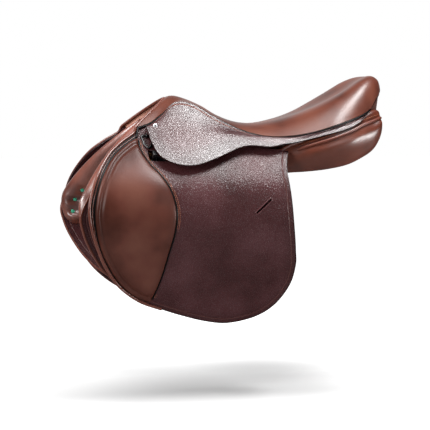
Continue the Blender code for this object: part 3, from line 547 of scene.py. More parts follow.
# The flap's leather: the same plum hide, less glossy, with a creased line inside its dyed edge
flap_grain = leather("flap_pebble_grain", "#361A1B", "#482729", "#553235", 0.34, 2.6, 0.8, 0.44, "#1C0B0D",
                     (8.5, "#52302D"))
for label, side in SIDES.items():
    away = edge_distance([smooth_row(FLAP_EDGE, t) for t in np.linspace(0, 1, 260)])

    def flap_flat(u, v):
        top_x = FLAP_FRONT_X + (FLAP_REAR_X - FLAP_FRONT_X) * u
        high = np.array((top_x, fold_height(top_x) - 1))
        return high + (smooth_row(FLAP_EDGE, u) - high) * v

    def flap(u, v):
        x, z = flap_flat(u, v)
        wave = 1.2 * math.sin(x / 47 + z / 90) * min(max(-z, 0) / 120, 1)
        return on_flank(x, z, FLAP_DEPTH + wave, side)

    made = sheet(f"flap_leather_{label}", 190, 90, flap, (0, side, 0.1), flap_grain,
                 FLAP_THICK, lambda u, v: away(*flap_flat(u, v)))
    punch(made, BAR_WINDOW, side, 10, 32)
    (x0, z0), (x1, z1) = KEEPER_SLIT
    across = Vector((z0 - z1, x1 - x0)).normalized() * (KEEPER_SLIT_WIDTH / 2)
    punch(made, ((x0 + across.x, z0 + across.y), (x1 + across.x, z1 + across.y),
                 (x1 - across.x, z1 - across.y), (x0 - across.x, z0 - across.y)), side, 15, 30)
    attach(made, f"flap_{label}")
    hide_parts(f"flap_{label}")


# The knee pad: a leaf of calf filled with foam and sewn to the flap's front, with a black welt
# and two rows of brown stitching behind it.
KNEE_PAD_REAR = (
    (-191, 45), (-189.9, 24.5), (-176.4, -0.4), (-161, -15.6), (-146, -36), (-137, -62),
    (-138.4, -92), (-148.6, -132), (-159.3, -177), (-173.7, -219),
)
KNEE_PAD_FRONT = (
    (-191, 45), (-213, 33), (-242, 11), (-264, -20), (-276, -47.4), (-279, -75),
    (-271, -113.5), (-254, -149), (-227, -187), (-196, -210), (-173.7, -219),
)
PAD_BASE = 24.8
PAD_EDGE = 1.4
PAD_CROWN = 6.2
PAD_ROLL = 9.5
PAD_ROLL_RISE, PAD_ROLL_HALF = 1.2, 3.0
PAD_GROOVE_DEEP, PAD_GROOVE_HALF = 2.4, 3.6


def stuffed(name, columns, around, place, finish, edge=None):
    """A stuffed piece, closed round its section and drawn together at its ends."""
    made = laid(name, columns, around, place, edge)
    mend(0.00005, 0.00003)
    made.data.materials.append(finish)
    bpy.ops.object.shade_smooth_by_angle(angle=math.radians(60))
    return made


# A stitch is a six-sided tube that thins out at both ends, where it enters the leather
STITCH_SIDES = 6
STITCH_RINGS = ((0.0, 0.35), (0.2, 1.0), (0.8, 1.0), (1.0, 0.35))


def stitches(name, path, out, length, gap, thick, finish):
    """A row of waxed thread stitches along a path, each lying between two awl holes."""
    knots = [Vector(p) for p in path]
    gone = np.concatenate([[0], np.cumsum([(b - a).length for a, b in zip(knots, knots[1:])])])
    xyz = np.array([k[:] for k in knots])

    def at(distance):
        return Vector([np.interp(distance, gone, column) for column in xyz.T])

    points, faces = [], []
    for start in np.arange(0, gone[-1] - length, length + gap):
        a, b = at(start), at(start + length)
        up = out((a + b) / 2)
        beside = (b - a).normalized().cross(up).normalized()
        base = len(points)
        for place, size in STITCH_RINGS:
            for turn in range(STITCH_SIDES):
                angle = 2 * math.pi * turn / STITCH_SIDES
                spread = beside * math.cos(angle) + up * math.sin(angle)
                points.append((a.lerp(b, place) + spread * (thick / 2 * size)) * MM)
        for ring in range(len(STITCH_RINGS) - 1):
            for turn in range(STITCH_SIDES):
                i = base + ring * STITCH_SIDES + turn
                j = base + ring * STITCH_SIDES + (turn + 1) % STITCH_SIDES
                faces.append((i, j, j + STITCH_SIDES, i + STITCH_SIDES))
        faces.append(tuple(base + turn for turn in reversed(range(STITCH_SIDES))))
        last_ring = base + STITCH_SIDES * (len(STITCH_RINGS) - 1)
        faces.append(tuple(last_ring + turn for turn in range(STITCH_SIDES)))
    mesh = bpy.data.meshes.new(name)
    mesh.from_pydata(points, [], faces)
    made = placed(name, mesh)
    mend()
    mesh.materials.append(finish)
    bpy.ops.object.shade_smooth_by_angle(angle=math.radians(60))
    return made


def plain(name, colour, roughness, scale, contrast, **sockets):
    """A simple finish whose colour and roughness still vary a little over the surface."""
    made, tree, shader, place = new_finish(name)
    speckle = add(tree, "TexNoise", {"Vector": place, "Scale": scale, "Detail": 3.0}).outputs["Fac"]
    shade = add(tree, "HueSaturation", {"Color": linear(colour)})
    tree.links.new(ramp(tree, speckle, 0.0, 1.0, 1 - contrast, 1 + contrast), shade.inputs["Value"])
    rough = ramp(tree, speckle, 0.0, 1.0, roughness * 0.8, roughness * 1.2)
    bump = add(tree, "Bump", {"Height": speckle, "Strength": 0.15, "Distance": 0.0002})
    wire(tree, shader, Base_Color=shade.outputs["Color"], Roughness=rough, Normal=bump.outputs["Normal"])
    for socket, given in sockets.items():
        shader.inputs[socket.replace("_", " ")].default_value = given
    return made


# Waxed linen thread, laid in tight: fine and a little glossy
thread = plain("thread_waxed", "#A9623F", 0.55, 700.0, 0.15)
# Calf skived thin and rolled round a cord: lighter than the pad, and polished by handling
brown_piping = leather("piping_rolled_brown", "#5A2C21", "#733E30", "#834B3C", 0.30, 1.2, 0.08, 0.35)
pad_front = edge_distance([smooth_row(KNEE_PAD_FRONT, t) for t in np.linspace(0, 1, 120)])
pad_rear = edge_distance([smooth_row(KNEE_PAD_REAR, t) for t in np.linspace(0, 1, 120)])


def pad_flat(u, v):
    turn = 2 * v if v < 0.5 else 2 - 2 * v
    rear, front = smooth_row(KNEE_PAD_REAR, u), smooth_row(KNEE_PAD_FRONT, u)
    return rear + (front - rear) * turn, turn


def pad_edge_and_shade(u, v):
    """Distance from the pad's own seams, kept small beside them and in the groove behind its front roll, so
    these are painted darker: painted shade.
    """
    (x, z), turn = pad_flat(u, v)
    from_front, from_rear = pad_front(x, z), pad_rear(x, z)
    # Small distances here paint the groove and the seams darker: painted shade
    shaded_beside_roll = from_front - PAD_ROLL + 2 if from_front > PAD_ROLL else 14 * (1 - from_front / PAD_ROLL) + 2
    return min(shaded_beside_roll, from_rear + 6)


for label, side in SIDES.items():
    def pad(u, v):
        (x, z), turn = pad_flat(u, v)
        if v >= 0.5:
            return on_flank(x, z, PAD_BASE, side)
        rise = (1 - abs(2 * turn - 1) ** 3.0) ** 0.6
        tip = min(1, u / 0.10, (1 - u) / 0.12)
        from_front = pad_front(x, z)
        behind_roll = (from_front - PAD_ROLL) / PAD_GROOVE_HALF
        groove = PAD_GROOVE_DEEP * math.exp(-(behind_roll**2)) if 0.05 < turn else 0
        rolled = PAD_ROLL_RISE * math.exp(-(((from_front - PAD_ROLL / 2) / PAD_ROLL_HALF) ** 2))
        tall = (PAD_EDGE + PAD_CROWN * rise - groove + rolled) * math.sqrt(max(tip, 0))
        return on_flank(x, z, PAD_BASE + tall, side)

    made = stuffed(f"pad_{label}", 130, 150, pad, pad_calf, pad_edge_and_shade)
    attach(made, f"flap_{label}")
    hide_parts(f"knee_pad_{label}")

    rear = [smooth_row(KNEE_PAD_REAR, t) for t in np.linspace(0.02, 0.985, 90)]
    path = [on_flank(x + 1.6, z, FLAP_DEPTH + 1.4, side) for x, z in rear]
    made = bead(f"pad_welt_{label}", path, 1.5, black_welt)
    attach(made, f"flap_{label}")
    for number, back in ((1, 4.4), (2, 7.2)):
        row = [on_flank(x + back, z, FLAP_DEPTH + 0.25, side) for x, z in rear]
        made = stitches(f"pad_stitches_{number}_{label}", row, lambda p: flank_out(p.z, side), 2.6, 0.9, 0.9,
                        thread)
        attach(made, f"flap_{label}")


# The flap's front: a cord rolled in brown leather on the edge itself, then a black band laid
# between that bead and the pad, black enough to stand in for the shaded gap there as well
# (painted shade), with a thin brown cord down its middle.
BEAD_R = 2.6
BEAD_DEPTH = FLAP_DEPTH + 1.6


def on_bead(x, z, side):
    """A point in the middle of the bead, a little inside the flap's edge at x and z."""
    return on_flank(x + 2.2, z + 0.4, BEAD_DEPTH, side)


flap_front = [smooth_row(FLAP_EDGE[:14], t) for t in np.linspace(0, 1, 200)]
shade_band_rows = []
for t in np.linspace(0.0, 0.97, 90):
    inner = smooth_row(KNEE_PAD_FRONT, t)
    outer = min(flap_front, key=lambda p: math.hypot(*(p - inner)))
    gap = math.hypot(*(outer - inner))
    shade_band_rows.append((*inner, *(inner + (outer - inner) * max(gap - 1.5, 0.5) / max(gap, 0.6))))
for label, side in SIDES.items():
    def band(u, v):
        row = smooth_row(shade_band_rows, u)
        x, z = row[:2] + (row[2:] - row[:2]) * v
        return on_flank(x, z, FLAP_DEPTH + 1.0, side)

    # The black band is partly painted shade, for the shadowed gap beside the pad
    made = sheet(f"front_shade_band_{label}", 110, 8, band, (0, side, 0.1), black_welt, 1.0)
    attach(made, f"flap_{label}")
    row = [band(u, 0.45) + flank_out(band(u, 0.45).z, side) * 0.2 for u in np.linspace(0.0, 1, 120)]
    made = bead(f"band_cord_{label}", row, 0.7, brown_piping, steps=3)
    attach(made, f"flap_{label}")
    edge = [smooth_row(FLAP_EDGE[:14], t) for t in np.linspace(0.0, 1, 120)]
    made = bead(f"flap_piping_{label}", [on_bead(x, z, side) for x, z in edge], BEAD_R, brown_piping)
    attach(made, f"flap_{label}")
    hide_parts(f"flap_bead_{label}")


# The shoulder: the flap's leather runs on from its fold up under the seat, and its bead and
# black band run on to the pommel.
for label, side in SIDES.items():
    def shoulder(u, v):
        high = below_seat(0.15 * u, side, 1.2) - seat_up(0.15 * u, side) * 1.5
        x = -199 + 52 * u
        return high.lerp(on_flank(x, fold_height(x) - 2, FLAP_DEPTH, side), v)

    made = sheet(f"flap_shoulder_{label}", 30, 14, shoulder, (0, side, 0.6), flap_grain, 3.0)
    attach(made, "root")
    top, above = past_end(0, side * 0.985, 3.0), past_end(0, side * 0.93, 3.0)
    foot, beneath = on_bead(*flap_front[0], side), on_bead(*flap_front[6], side)
    run_in, run_out = (top - above).normalized(), (beneath - foot).normalized()
    far = (foot - top).length
    path = []
    for t in np.linspace(0, 1, 16):
        a, b = top + run_in * (far * t), foot - run_out * (far * (1 - t))
        path.append(a.lerp(b, t * t * (3 - 2 * t)))
    made = bead(f"shoulder_piping_{label}", path, BEAD_R, brown_piping)
    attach(made, "root")
    start = below_seat(0.0, side, WELT_R + WELT_GAP)
    path = [start.lerp(on_flank(-192, 47, BEAD_DEPTH, side), t) for t in np.linspace(-0.04, 1, 14)]
    made = bead(f"shoulder_welt_{label}", path, 2.0, black_welt)
    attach(made, "root")


# The keeper: a slit that takes the stirrup leather's end, with a narrow rolled lip sewn round it
# in leather a little lighter and redder than the flap's.
LIP_REACH = 2.4
lip_leather = leather("keeper_lip_leather", "#472325", "#603234", "#6E3D3E", 0.35, 1.2, 0.1, 0.35)
for label, side in SIDES.items():
    (x0, z0), (x1, z1) = KEEPER_SLIT
    run = np.array((x1 - x0, z1 - z0)) / math.hypot(x1 - x0, z1 - z0)
    beside = np.array((-run[1], run[0]))
    ring = []
    for turn in np.linspace(0, 2 * math.pi, 49)[:-1]:
        end = np.array((x1, z1) if math.cos(turn) > 0 else (x0, z0))
        ring.append(end + (run * math.cos(turn) + beside * math.sin(turn)) * LIP_REACH)
    made = bead(f"keeper_lip_{label}", [on_flank(*p, FLAP_DEPTH + 0.3, side) for p in ring], 1.0, lip_leather,
                closed=True)
    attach(made, f"flap_{label}")


# The panels: two long cushions of calf filled with wool, with a deep gusset behind whose seam
# is piped and stitched. They rest on the horse and leave a channel over its spine.
PANEL_STATIONS = (
    (-165.0, (50, 57), (90, 12), (93, 0), (87, -10), (54, 32)),
    (-146.0, (42, 66), (107, 5), (113, -8), (99, -22), (40, 33)),
    (-60.0, (37, 66), (108, 4), (115, -9), (100, -25), (34, 31)),
    (20.0, (37, 61), (104, 11), (112, 2), (101, -17), (34, 31)),
    (60.0, (37, 56), (102, 30), (108, 22), (102, -6), (34, 32)),
    (88.0, (37, 60), (104, 50), (112, 36), (103, -1), (34, 33)),
    (120.0, (37, 74), (114, 62), (124, 48), (105, 1), (35, 35)),
    (160.0, (37, 92), (119, 76), (131, 60), (106, 5), (36, 38)),
    (200.0, (38, 106), (117, 92), (128, 74), (106, 13), (38, 46)),
    (230.0, (40, 112), (105, 104), (118, 87), (104, 26), (42, 58)),
    (252.0, (44, 116), (96, 112), (109, 94), (101, 40), (46, 66)),
    (266.0, (48, 118), (88, 114), (101, 99), (96, 58), (50, 78)),
    (275.0, (52, 112), (82, 109), (92, 100), (88, 78), (54, 90)),
)
PANEL_CROWN = 9.0
SEAM_FROM, SEAM_AT = 5 / 11, 4 / 11


def closed_row(keys, place):
    """A point on a smooth closed curve through the keys."""
    keys = np.array(keys, float)
    keys = np.vstack([keys[-1:], keys, keys[:2]])
    spans = len(keys) - 3
    first = min(int(place % 1 * spans), spans - 1)
    f = place % 1 * spans - first
    return between(*keys[first : first + 4], f)


def panel_ring(u):
    """The panel's section at a place from its nose at 0 to its rear at 1."""
    row = smooth_row([[s[0], *s[1], *s[2], *s[3], *s[4], *s[5]] for s in PANEL_STATIONS], u)
    top_in, top_out, seam, foot, gullet = row[1:].reshape(5, 2)
    full = min(max((row[0] - 80) / 50, 0), 1)
    return row[0], [
        top_in, (2 * top_in + top_out) / 3, (top_in + 2 * top_out) / 3, top_out, seam - (3 * full, 0),
        seam + (foot - seam) * 0.3 + (1.5 + 7 * full, 0), seam + (foot - seam) * 0.65 + (3 + 6 * full, -2),
        foot + (2 * full, 0), (foot + gullet) / 2 - (0, PANEL_CROWN / 2), gullet,
        (gullet + top_in) / 2 - (PANEL_CROWN / 6, 0),
    ]


# The panel's calf: a deep brown that the wool stretches smooth, so it shines in a tight spot
panel_calf = leather("panel_calf", "#34140A", "#572515", "#682F1C", 0.30, 1.6, 0.10, 0.5)
for label, side in SIDES.items():
    def panel(u, v):
        x, keys = panel_ring(u)
        point = closed_row(keys, v)
        middle = np.mean(keys, axis=0)
        nose = min(1, u / 0.035, (1 - u) / 0.045)
        y, z = middle + (point - middle) * math.sqrt(max(1 - (1 - nose) ** 2, 0))
        return Vector((x, side * y, z))

    made = stuffed(f"panel_pad_{label}", 130, 72, panel, panel_calf)
    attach(made, "root")
    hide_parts(f"panel_{label}")
    lift = Vector((0, side * 0.9, 0.44))
    along_seam = np.linspace(SEAM_FROM, 0.955, 70)
    path = [panel(u, SEAM_AT) + lift * 1.4 for u in along_seam]
    made = bead(f"panel_piping_{label}", path, BEAD_R, brown_piping)
    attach(made, "root")
    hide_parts(f"panel_bead_{label}")
    row = [panel(u, SEAM_AT - 0.04) + lift * 0.2 for u in along_seam]
    made = stitches(f"panel_stitches_{label}", row, lambda p: lift, 3.0, 1.6, 1.0, thread)
    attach(made, "root")


# The panel's front roll: the same cushion carried forward round the shoulder. Three tufts of
# green thread draw its wool in.
ROLL_OUTER = (
    (-168, 106), (-194, 90), (-219, 69), (-244, 45), (-268, 17), (-287, -11), (-299, -36), (-302, -58),
    (-300, -80), (-293, -98), (-280, -108),
)
ROLL_INNER = (
    (-146, 56), (-160, 32), (-178, 12), (-198, -8), (-214, -28), (-227, -54), (-235, -80),
    (-248, -100), (-268, -109),
)
PANEL_OUT = -8.3
ROLL_FULL = 35.0
TUFTS = ((-264, -18), (-277, -52), (-281, -84))
DIMPLE_DEPTH = 7.0
DIMPLE_R = 14.0
TUFT_R = 3.7


def roll_flat(u, across):
    outer, inner = smooth_row(ROLL_OUTER, u), smooth_row(ROLL_INNER, u)
    return outer + (inner - outer) * across


def round_across(v):
    """How far across the roll a place round its section lies, from 0 to 1."""
    c = math.cos(2 * math.pi * v)
    return 0.5 - 0.5 * math.copysign(abs(c) ** 0.8, c)


def roll_surface(u, v, side):
    """A point of the roll: along it and round its section, which is rounder towards the horse."""
    s = math.sin(2 * math.pi * v)
    end = min(1, u / 0.12, (1 - u) / 0.14)
    full = ROLL_FULL * math.sqrt(max(1 - (1 - end) ** 2, 0)) * (0.55 + 0.45 * min(u / 0.45, 1))
    x, z = roll_flat(u, round_across(v))
    depth = 0.35 - 0.35 * abs(s) ** 0.75
    sink = 0
    if s >= 0:
        depth = 0.35 + 0.65 * s**0.75
    if s > 0:
        sink = sum(DIMPLE_DEPTH * math.exp(-((x - a) ** 2 + (z - b) ** 2) / DIMPLE_R**2) for a, b in TUFTS)
    return on_flank(x, z, PANEL_OUT - full * depth + sink, side)


# The roll's calf: the panel's hide, taking more polish, painted lighter to stand in for the light on the
# roll: painted light
roll_calf_painted_light = leather("roll_calf_painted_light", "#4A2015", "#6E3728", "#7C4232", 0.34, 1.5, 0.10, 0.8)
# Linen thread dyed green and wound into a tuft, dull and a little furry
tuft_thread = plain("tuft_wound_thread", "#1E8466", 0.8, 900.0, 0.3, Sheen_Weight=0.3)
for label, side in SIDES.items():
    made = stuffed(f"front_roll_{label}", 120, 96, lambda u, v: roll_surface(u, v, side), roll_calf_painted_light)
    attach(made, "root")
    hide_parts(f"panel_roll_{label}")
    for number, (x, z) in enumerate(TUFTS, 1):
        places = [(u, v) for u in np.linspace(0.05, 0.97, 93) for v in np.linspace(0.02, 0.48, 47)]
        reach = [math.hypot(*(roll_flat(u, round_across(v)) - (x, z))) for u, v in places]
        u, v = places[int(np.argmin(reach))]
        centre = roll_surface(u, v, side)
        ahead = roll_surface(u + 0.01, v, side) - roll_surface(u - 0.01, v, side)
        round_it = roll_surface(u, v + 0.01, side) - roll_surface(u, v - 0.01, side)
        out = ahead.cross(round_it).normalized()
        if out.dot(flank_out(z, side)) > 0:
            out = -out
        bpy.ops.object.select_all(action="DESELECT")
        bpy.ops.mesh.primitive_uv_sphere_add(segments=28, ring_count=14, radius=1)
        tuft = bpy.context.object
        tuft.name = tuft.data.name = f"tuft_thread_{number}_{label}"
        facing = out.to_track_quat("Z", "Y").to_matrix()
        for vertex in tuft.data.vertices:
            flute = 1 + 0.06 * math.cos(14 * math.atan2(vertex.co.y, vertex.co.x))
            wide = TUFT_R * flute
            local = Vector((vertex.co.x * wide, vertex.co.y * wide, vertex.co.z * 2.0 + 0.6))
            vertex.co = (centre + facing @ local) * MM
        tuft.data.materials.append(tuft_thread)
        bpy.ops.object.shade_smooth()
        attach(tuft, "root")
        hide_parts(f"tuft_{number}_{label}")


# The sweat flap: a thinner sheet of the plum leather between the panel and the flap, piped
# along its front edge.
SWEAT_FLAP_DEPTH = -4.0
SWEAT_FLAP_THICK = 4.0
SWEAT_FLAP_EDGE = (
    (-203, 52), (-226, 32), (-250, 9), (-272, -17), (-286, -40), (-296, -60), (-300, -77),
    (-297, -95), (-289, -119), (-275, -146), (-257, -172), (-232, -196), (-196, -216), (-140, -234),
    (-60, -244), (-20, -246), (24, -236), (54, -212), (68, -172), (66, -120), (60, -60), (58, 2),
)
for label, side in SIDES.items():
    away = edge_distance([smooth_row(SWEAT_FLAP_EDGE, t) for t in np.linspace(0, 1, 200)])

    def sweat_flat(u, v):
        high = np.array((-186 + 244 * u, 44 * max(0, 1 - u * 8) ** 1.5 - 1))
        return high + (smooth_row(SWEAT_FLAP_EDGE, u) - high) * v

    made = sheet(f"sweat_flap_leather_{label}", 150, 60,
                 lambda u, v: on_flank(*sweat_flat(u, v), SWEAT_FLAP_DEPTH, side),
                 (0, side, 0.1), flap_grain, SWEAT_FLAP_THICK,
                 lambda u, v: away(*sweat_flat(u, v)))
    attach(made, "root")
    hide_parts(f"sweat_flap_{label}")
    edge = [smooth_row(SWEAT_FLAP_EDGE[:14], t) for t in np.linspace(0.02, 1, 130)]
    path = [on_flank(x - 0.5, z, SWEAT_FLAP_DEPTH - 1.5, side) for x, z in edge]
    made = bead(f"sweat_flap_piping_{label}", path, BEAD_R, brown_piping)
    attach(made, "root")


# The blocks on the sweat flap: calf over firm foam, before and behind the rider's thigh.
FRONT_BLOCK = ((-262, -60), (-268, -84), (-258, -120), (-238, -156), (-226, -150), (-232, -110), (-242, -70))
REAR_BLOCK = ((34, -70), (52, -76), (58, -110), (52, -150), (38, -156), (28, -130), (28, -96))
BLOCK_BASE = -3.7
BLOCK_TALL = 23.2
for label, side in SIDES.items():
    for name, edge in (("front_block", FRONT_BLOCK), ("rear_block", REAR_BLOCK)):
        middle = np.mean(edge, axis=0)

        def block(u, v):
            rim = closed_row(edge, v)
            turn = math.pi * u
            x, z = middle + (rim - middle) * math.sin(turn) ** 0.6
            rise = 0.5 - 0.5 * math.copysign(abs(math.cos(turn)) ** 0.6, math.cos(turn))
            return on_flank(x, z, BLOCK_BASE + BLOCK_TALL * rise, side)

        made = stuffed(f"{name}_pad_{label}", 36, 60, block, calf)
        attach(made, "root")
        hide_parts(f"{name}_{label}")


# The girth straps: grained leather on a loop of webbing, each punched with oval holes for
# the girth's buckles.
BILLET_WIDTH = 26.0
BILLET_THICK = 3.5
BILLETS = {"front": (-55.0, 1.0), "rear": (-13.0, 7.0)}
BILLET_TOP, BILLET_END = -16.5, -236.0
HOLE_FIRST, HOLE_PITCH, HOLE_COUNT = -92.0, 19.0, 7
HOLE_HALF_WIDE, HOLE_HALF_TALL = 2.0, 3.0
# Strap leather: thick, darker than the flaps and more matt, with a line creased beside each edge
strap_grain = leather("strap_pebble_grain", "#2E1919", "#412426", "#4E2E30", 0.42, 2.3, 0.4, 0.22, "#160B0B",
                      (3.6, "#5E3328"))
for label, side in SIDES.items():
    for end, (middle, base) in BILLETS.items():
        half = BILLET_WIDTH / 2

        def strap_flat(u, v):
            z = BILLET_TOP + (BILLET_END - BILLET_TOP) * v
            near_tip = max(0, (half - (z - BILLET_END)) / half)
            width = half * math.sqrt(max(1 - near_tip**2, 0))
            return middle + width * (2 * u - 1), z

        made = sheet(f"billet_{end}_leather_{label}", 14, 110,
                     lambda u, v: on_flank(*strap_flat(u, v), base + BILLET_THICK, side),
                     (0, side, 0.1), strap_grain, BILLET_THICK,
                     lambda u, v: half - abs(strap_flat(u, v)[0] - middle))
        for number in range(HOLE_COUNT):
            z = HOLE_FIRST - HOLE_PITCH * number
            ring = [(middle + HOLE_HALF_WIDE * math.cos(a), z + HOLE_HALF_TALL * math.sin(a))
                    for a in np.linspace(0, 2 * math.pi, 13)[:-1]]
            punch(made, ring, side, base - 3, base + BILLET_THICK + 3)
        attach(made, f"billet_{end}_{label}")
        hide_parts(f"billet_{end}_{label}")


# The pommel's front: a lining of calf under the arch, and a piped edge that runs into the
# beads on the flaps.
LINING_DEPTH = 32.5
# Lining calf: thin and hardly waxed, painted lighter than the seat to stand in for the light on the pommel:
# painted light
lining_calf_painted_light = leather("lining_calf_painted_light", "#7A4636", "#9A6450", "#A8715D", 0.4, 1.5, 0.10, 0.2)
lining = sheet("arch_lining", 34, 90, lambda u, v: on_seat(0.17 * u, 1.94 * v - 0.97, LINING_DEPTH - 2.5),
               (0, 0, 1), lining_calf_painted_light, 2.5)
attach(lining, "root")
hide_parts("head_lining")
pommel_facing = sheet("pommel_facing", 90, 12,
                      lambda u, v: on_seat(0.004 + 0.02 * v, 1.94 * u - 0.97, 3 + (LINING_DEPTH - 6) * v),
                      (-1, 0, 0), lining_calf_painted_light, 2.0)
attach(pommel_facing, "root")
path = [past_end(0, across, 3.0) for across in np.linspace(-0.99, 0.99, 110)]
made = bead("pommel_piping", path, BEAD_R, brown_piping)
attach(made, "root")
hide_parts("head_welt")


# The cantle's back: a strip of calf that closes the seat down to the panels.
FACING_FOOT = 108.0
facing_rows = []
for across in np.linspace(-0.97, 0.97, 60):
    top = past_end(1, across, 2.2)
    inward = Vector((-1, -across * 0.6, 0)).normalized()
    foot = top + inward * 5
    foot.z = min(FACING_FOOT, top.z - 4)
    facing_rows.append((*top, *foot))


def cantle_strip(u, v):
    row = smooth_row(facing_rows, u)
    return Vector(row[:3]).lerp(Vector(row[3:]), v)


made = sheet("cantle_back", 110, 20, cantle_strip, (1, 0, 0), calf, 3.0)
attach(made, "root")
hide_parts("cantle_facing")


# The hardware: a forged stirrup bar with its hinged catch on each side, and a dee on a staple,
# all in baked black lacquer. One bright dome nail holds each skirt's front.
def finished(node_name, finish):
    """Gives one of the CAD's own solids its material."""
    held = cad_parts[node_name].data.materials
    held.clear()
    held.append(finish)


# Forged steel under a baked black lacquer, glossy with a little orange peel
lacquer = plain("steel_lacquered_black", "#151516", 0.32, 160.0, 0.2, Metallic=0.0, Coat_Weight=0.4)
finished("head_plate", lacquer)
for label in SIDES:
    finished(f"stirrup_bar_{label}", lacquer)
    finished(f"bar_catch_{label}", lacquer)
DEE_X = -174.0
DEE_DEPTH = FLAP_DEPTH + 2.4
STAPLE_R = 3.7
DEE_KEYS = ((-8.5, 0), (0, 0), (8.5, 0), (8.5, -6), (6.1, -15), (0, -21), (-6.1, -15), (-8.5, -6))
for label, side in SIDES.items():
    height = fold_height(DEE_X) - 6
    ring = [on_flank(*(np.array((DEE_X, height)) + closed_row(DEE_KEYS, t)), DEE_DEPTH, side)
            for t in np.linspace(0, 1, 57)[:-1]]
    made = bead(f"dee_ring_{label}", ring, 1.7, lacquer, closed=True)
    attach(made, f"dee_{label}")
    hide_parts(f"dee_{label}")
    pivot = on_flank(DEE_X, height, DEE_DEPTH, side)
    out = flank_out(height, side)
    down = (on_flank(DEE_X, height - 1, 0, side) - on_flank(DEE_X, height, 0, side)).normalized()
    arch = [pivot + down * (STAPLE_R * math.cos(a)) + out * (STAPLE_R * math.sin(a))
            for a in np.linspace(0, math.pi, 17)]
    arch = [arch[0] - out * 2.1] + arch + [arch[-1] - out * 2.1]
    made = bead(f"dee_staple_wire_{label}", arch, 1.3, lacquer)
    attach(made, f"flap_{label}")
    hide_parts(f"dee_staple_{label}")

# The nail's profile: how wide and how high, from the crown of its dome to its foot
NAIL_PROFILE = (
    (0.0, 5.6), (2.0, 5.2), (3.6, 4.2), (4.7, 2.8), (5.2, 1.6), (5.8, 1.3), (5.9, 0.6), (5.6, 0.0),
    (0.0, 0.0),
)
# Nickel-plated steel, polished and then worn to a soft shine
bright = plain("nickel_polished", "#C9C9CC", 0.34, 90.0, 0.03, Metallic=1.0)
for label, side in SIDES.items():
    edge = on_seat(0.06, side)
    low = fold_point(-154.0, side)
    run = (low - edge).normalized()
    out = run.cross(Vector((1, 0, 0))).normalized()
    if out.y * side < 0:
        out = -out
    base = low - run * 8.0 + out * (SKIRT_THICK / 2 + 0.6)
    made, flats = grid(f"nail_{label}", 40, len(NAIL_PROFILE) * 3)
    turn = out.to_track_quat("Z", "Y").to_matrix()
    for vertex, (u, v) in zip(made.data.vertices, flats):
        r, h = smooth_row(NAIL_PROFILE[:-1], v) if v < 0.98 else NAIL_PROFILE[-1]
        angle = 2 * math.pi * u
        local = Vector((max(r, 0) * math.cos(angle), max(r, 0) * math.sin(angle), h))
        vertex.co = (base + turn @ local) * MM
    mend(0.00001, 0.00001)
    made.data.materials.append(bright)
    bpy.ops.object.shade_smooth_by_angle(angle=math.radians(40))
    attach(made, "root")
    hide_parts(f"skirt_nail_{label}")


# The tree inside: laminated beech rails and head, with linen webbing strained across them.
# Beech veneers glued in a press, sanded and bare: the grain is long and fine
wood, tree, shader, place = new_finish("beech_laminated")
stretched = add(tree, "Mapping", {"Vector": place, "Scale": (30, 240, 600)})
rings = add(tree, "TexNoise", {"Vector": stretched.outputs["Vector"], "Scale": 1.0, "Detail": 5.0})
wire(tree, shader, Base_Color=tones(tree, rings.outputs["Fac"], ((0.3, "#A9764A"), (0.7, "#C89A6B"))))
shader.inputs["Roughness"].default_value = 0.5

# Linen webbing: undyed yarn in a plain weave, quite matt
linen, tree, shader, place = new_finish("webbing_linen")
warp = add(tree, "TexWave", {"Vector": place, "Scale": 260.0}, bands_direction="X")
weft = add(tree, "TexWave", {"Vector": place, "Scale": 260.0}, bands_direction="Y")
weave = maths(tree, "MULTIPLY", warp.outputs["Fac"], weft.outputs["Fac"])
bump = add(tree, "Bump", {"Height": weave, "Strength": 0.5, "Distance": 0.0004})
yarn = tones(tree, weave, ((0.0, "#8E8168"), (1.0, "#C9BC9E")))
wire(tree, shader, Base_Color=yarn, Normal=bump.outputs["Normal"])
shader.inputs["Roughness"].default_value = 0.85
for name in ("tree_head", "tree_cantle", "tree_rail_near", "tree_rail_off", "tree_point_near",
             "tree_point_off"):
    finished(name, wood)
for name in ("seat_web_long", "seat_web_cross", "girth_web_near", "girth_web_off"):
    finished(name, linen)


# The studio: white paper that is grey only under the saddle, a white room that polished things
# mirror dimly, six soft boxes and the photograph's view.
FLOOR_Z = -0.405
# The oval under the saddle where the paper's painted glow fades away
SHADE_CENTRE = (-0.03, -0.10)
SHADE_HALF_LONG, SHADE_HALF_DEEP = 0.85, 0.50
bpy.ops.object.select_all(action="DESELECT")
bpy.ops.mesh.primitive_plane_add(size=30, location=(0, 0, FLOOR_Z))
floor = bpy.context.object
floor.name = "floor"
bpy.ops.object.transform_apply(location=True)
# Matt paper: lit by the lamps near the saddle, and white further out by a painted glow of its own, which
# fades in an oval under the saddle so the lamps' shadow shows there
paper, tree, shader, place = new_finish("floor_paper")
shader.inputs["Roughness"].default_value = 0.95
shader.inputs["Specular IOR Level"].default_value = 0.0
ray = add(tree, "LightPath")
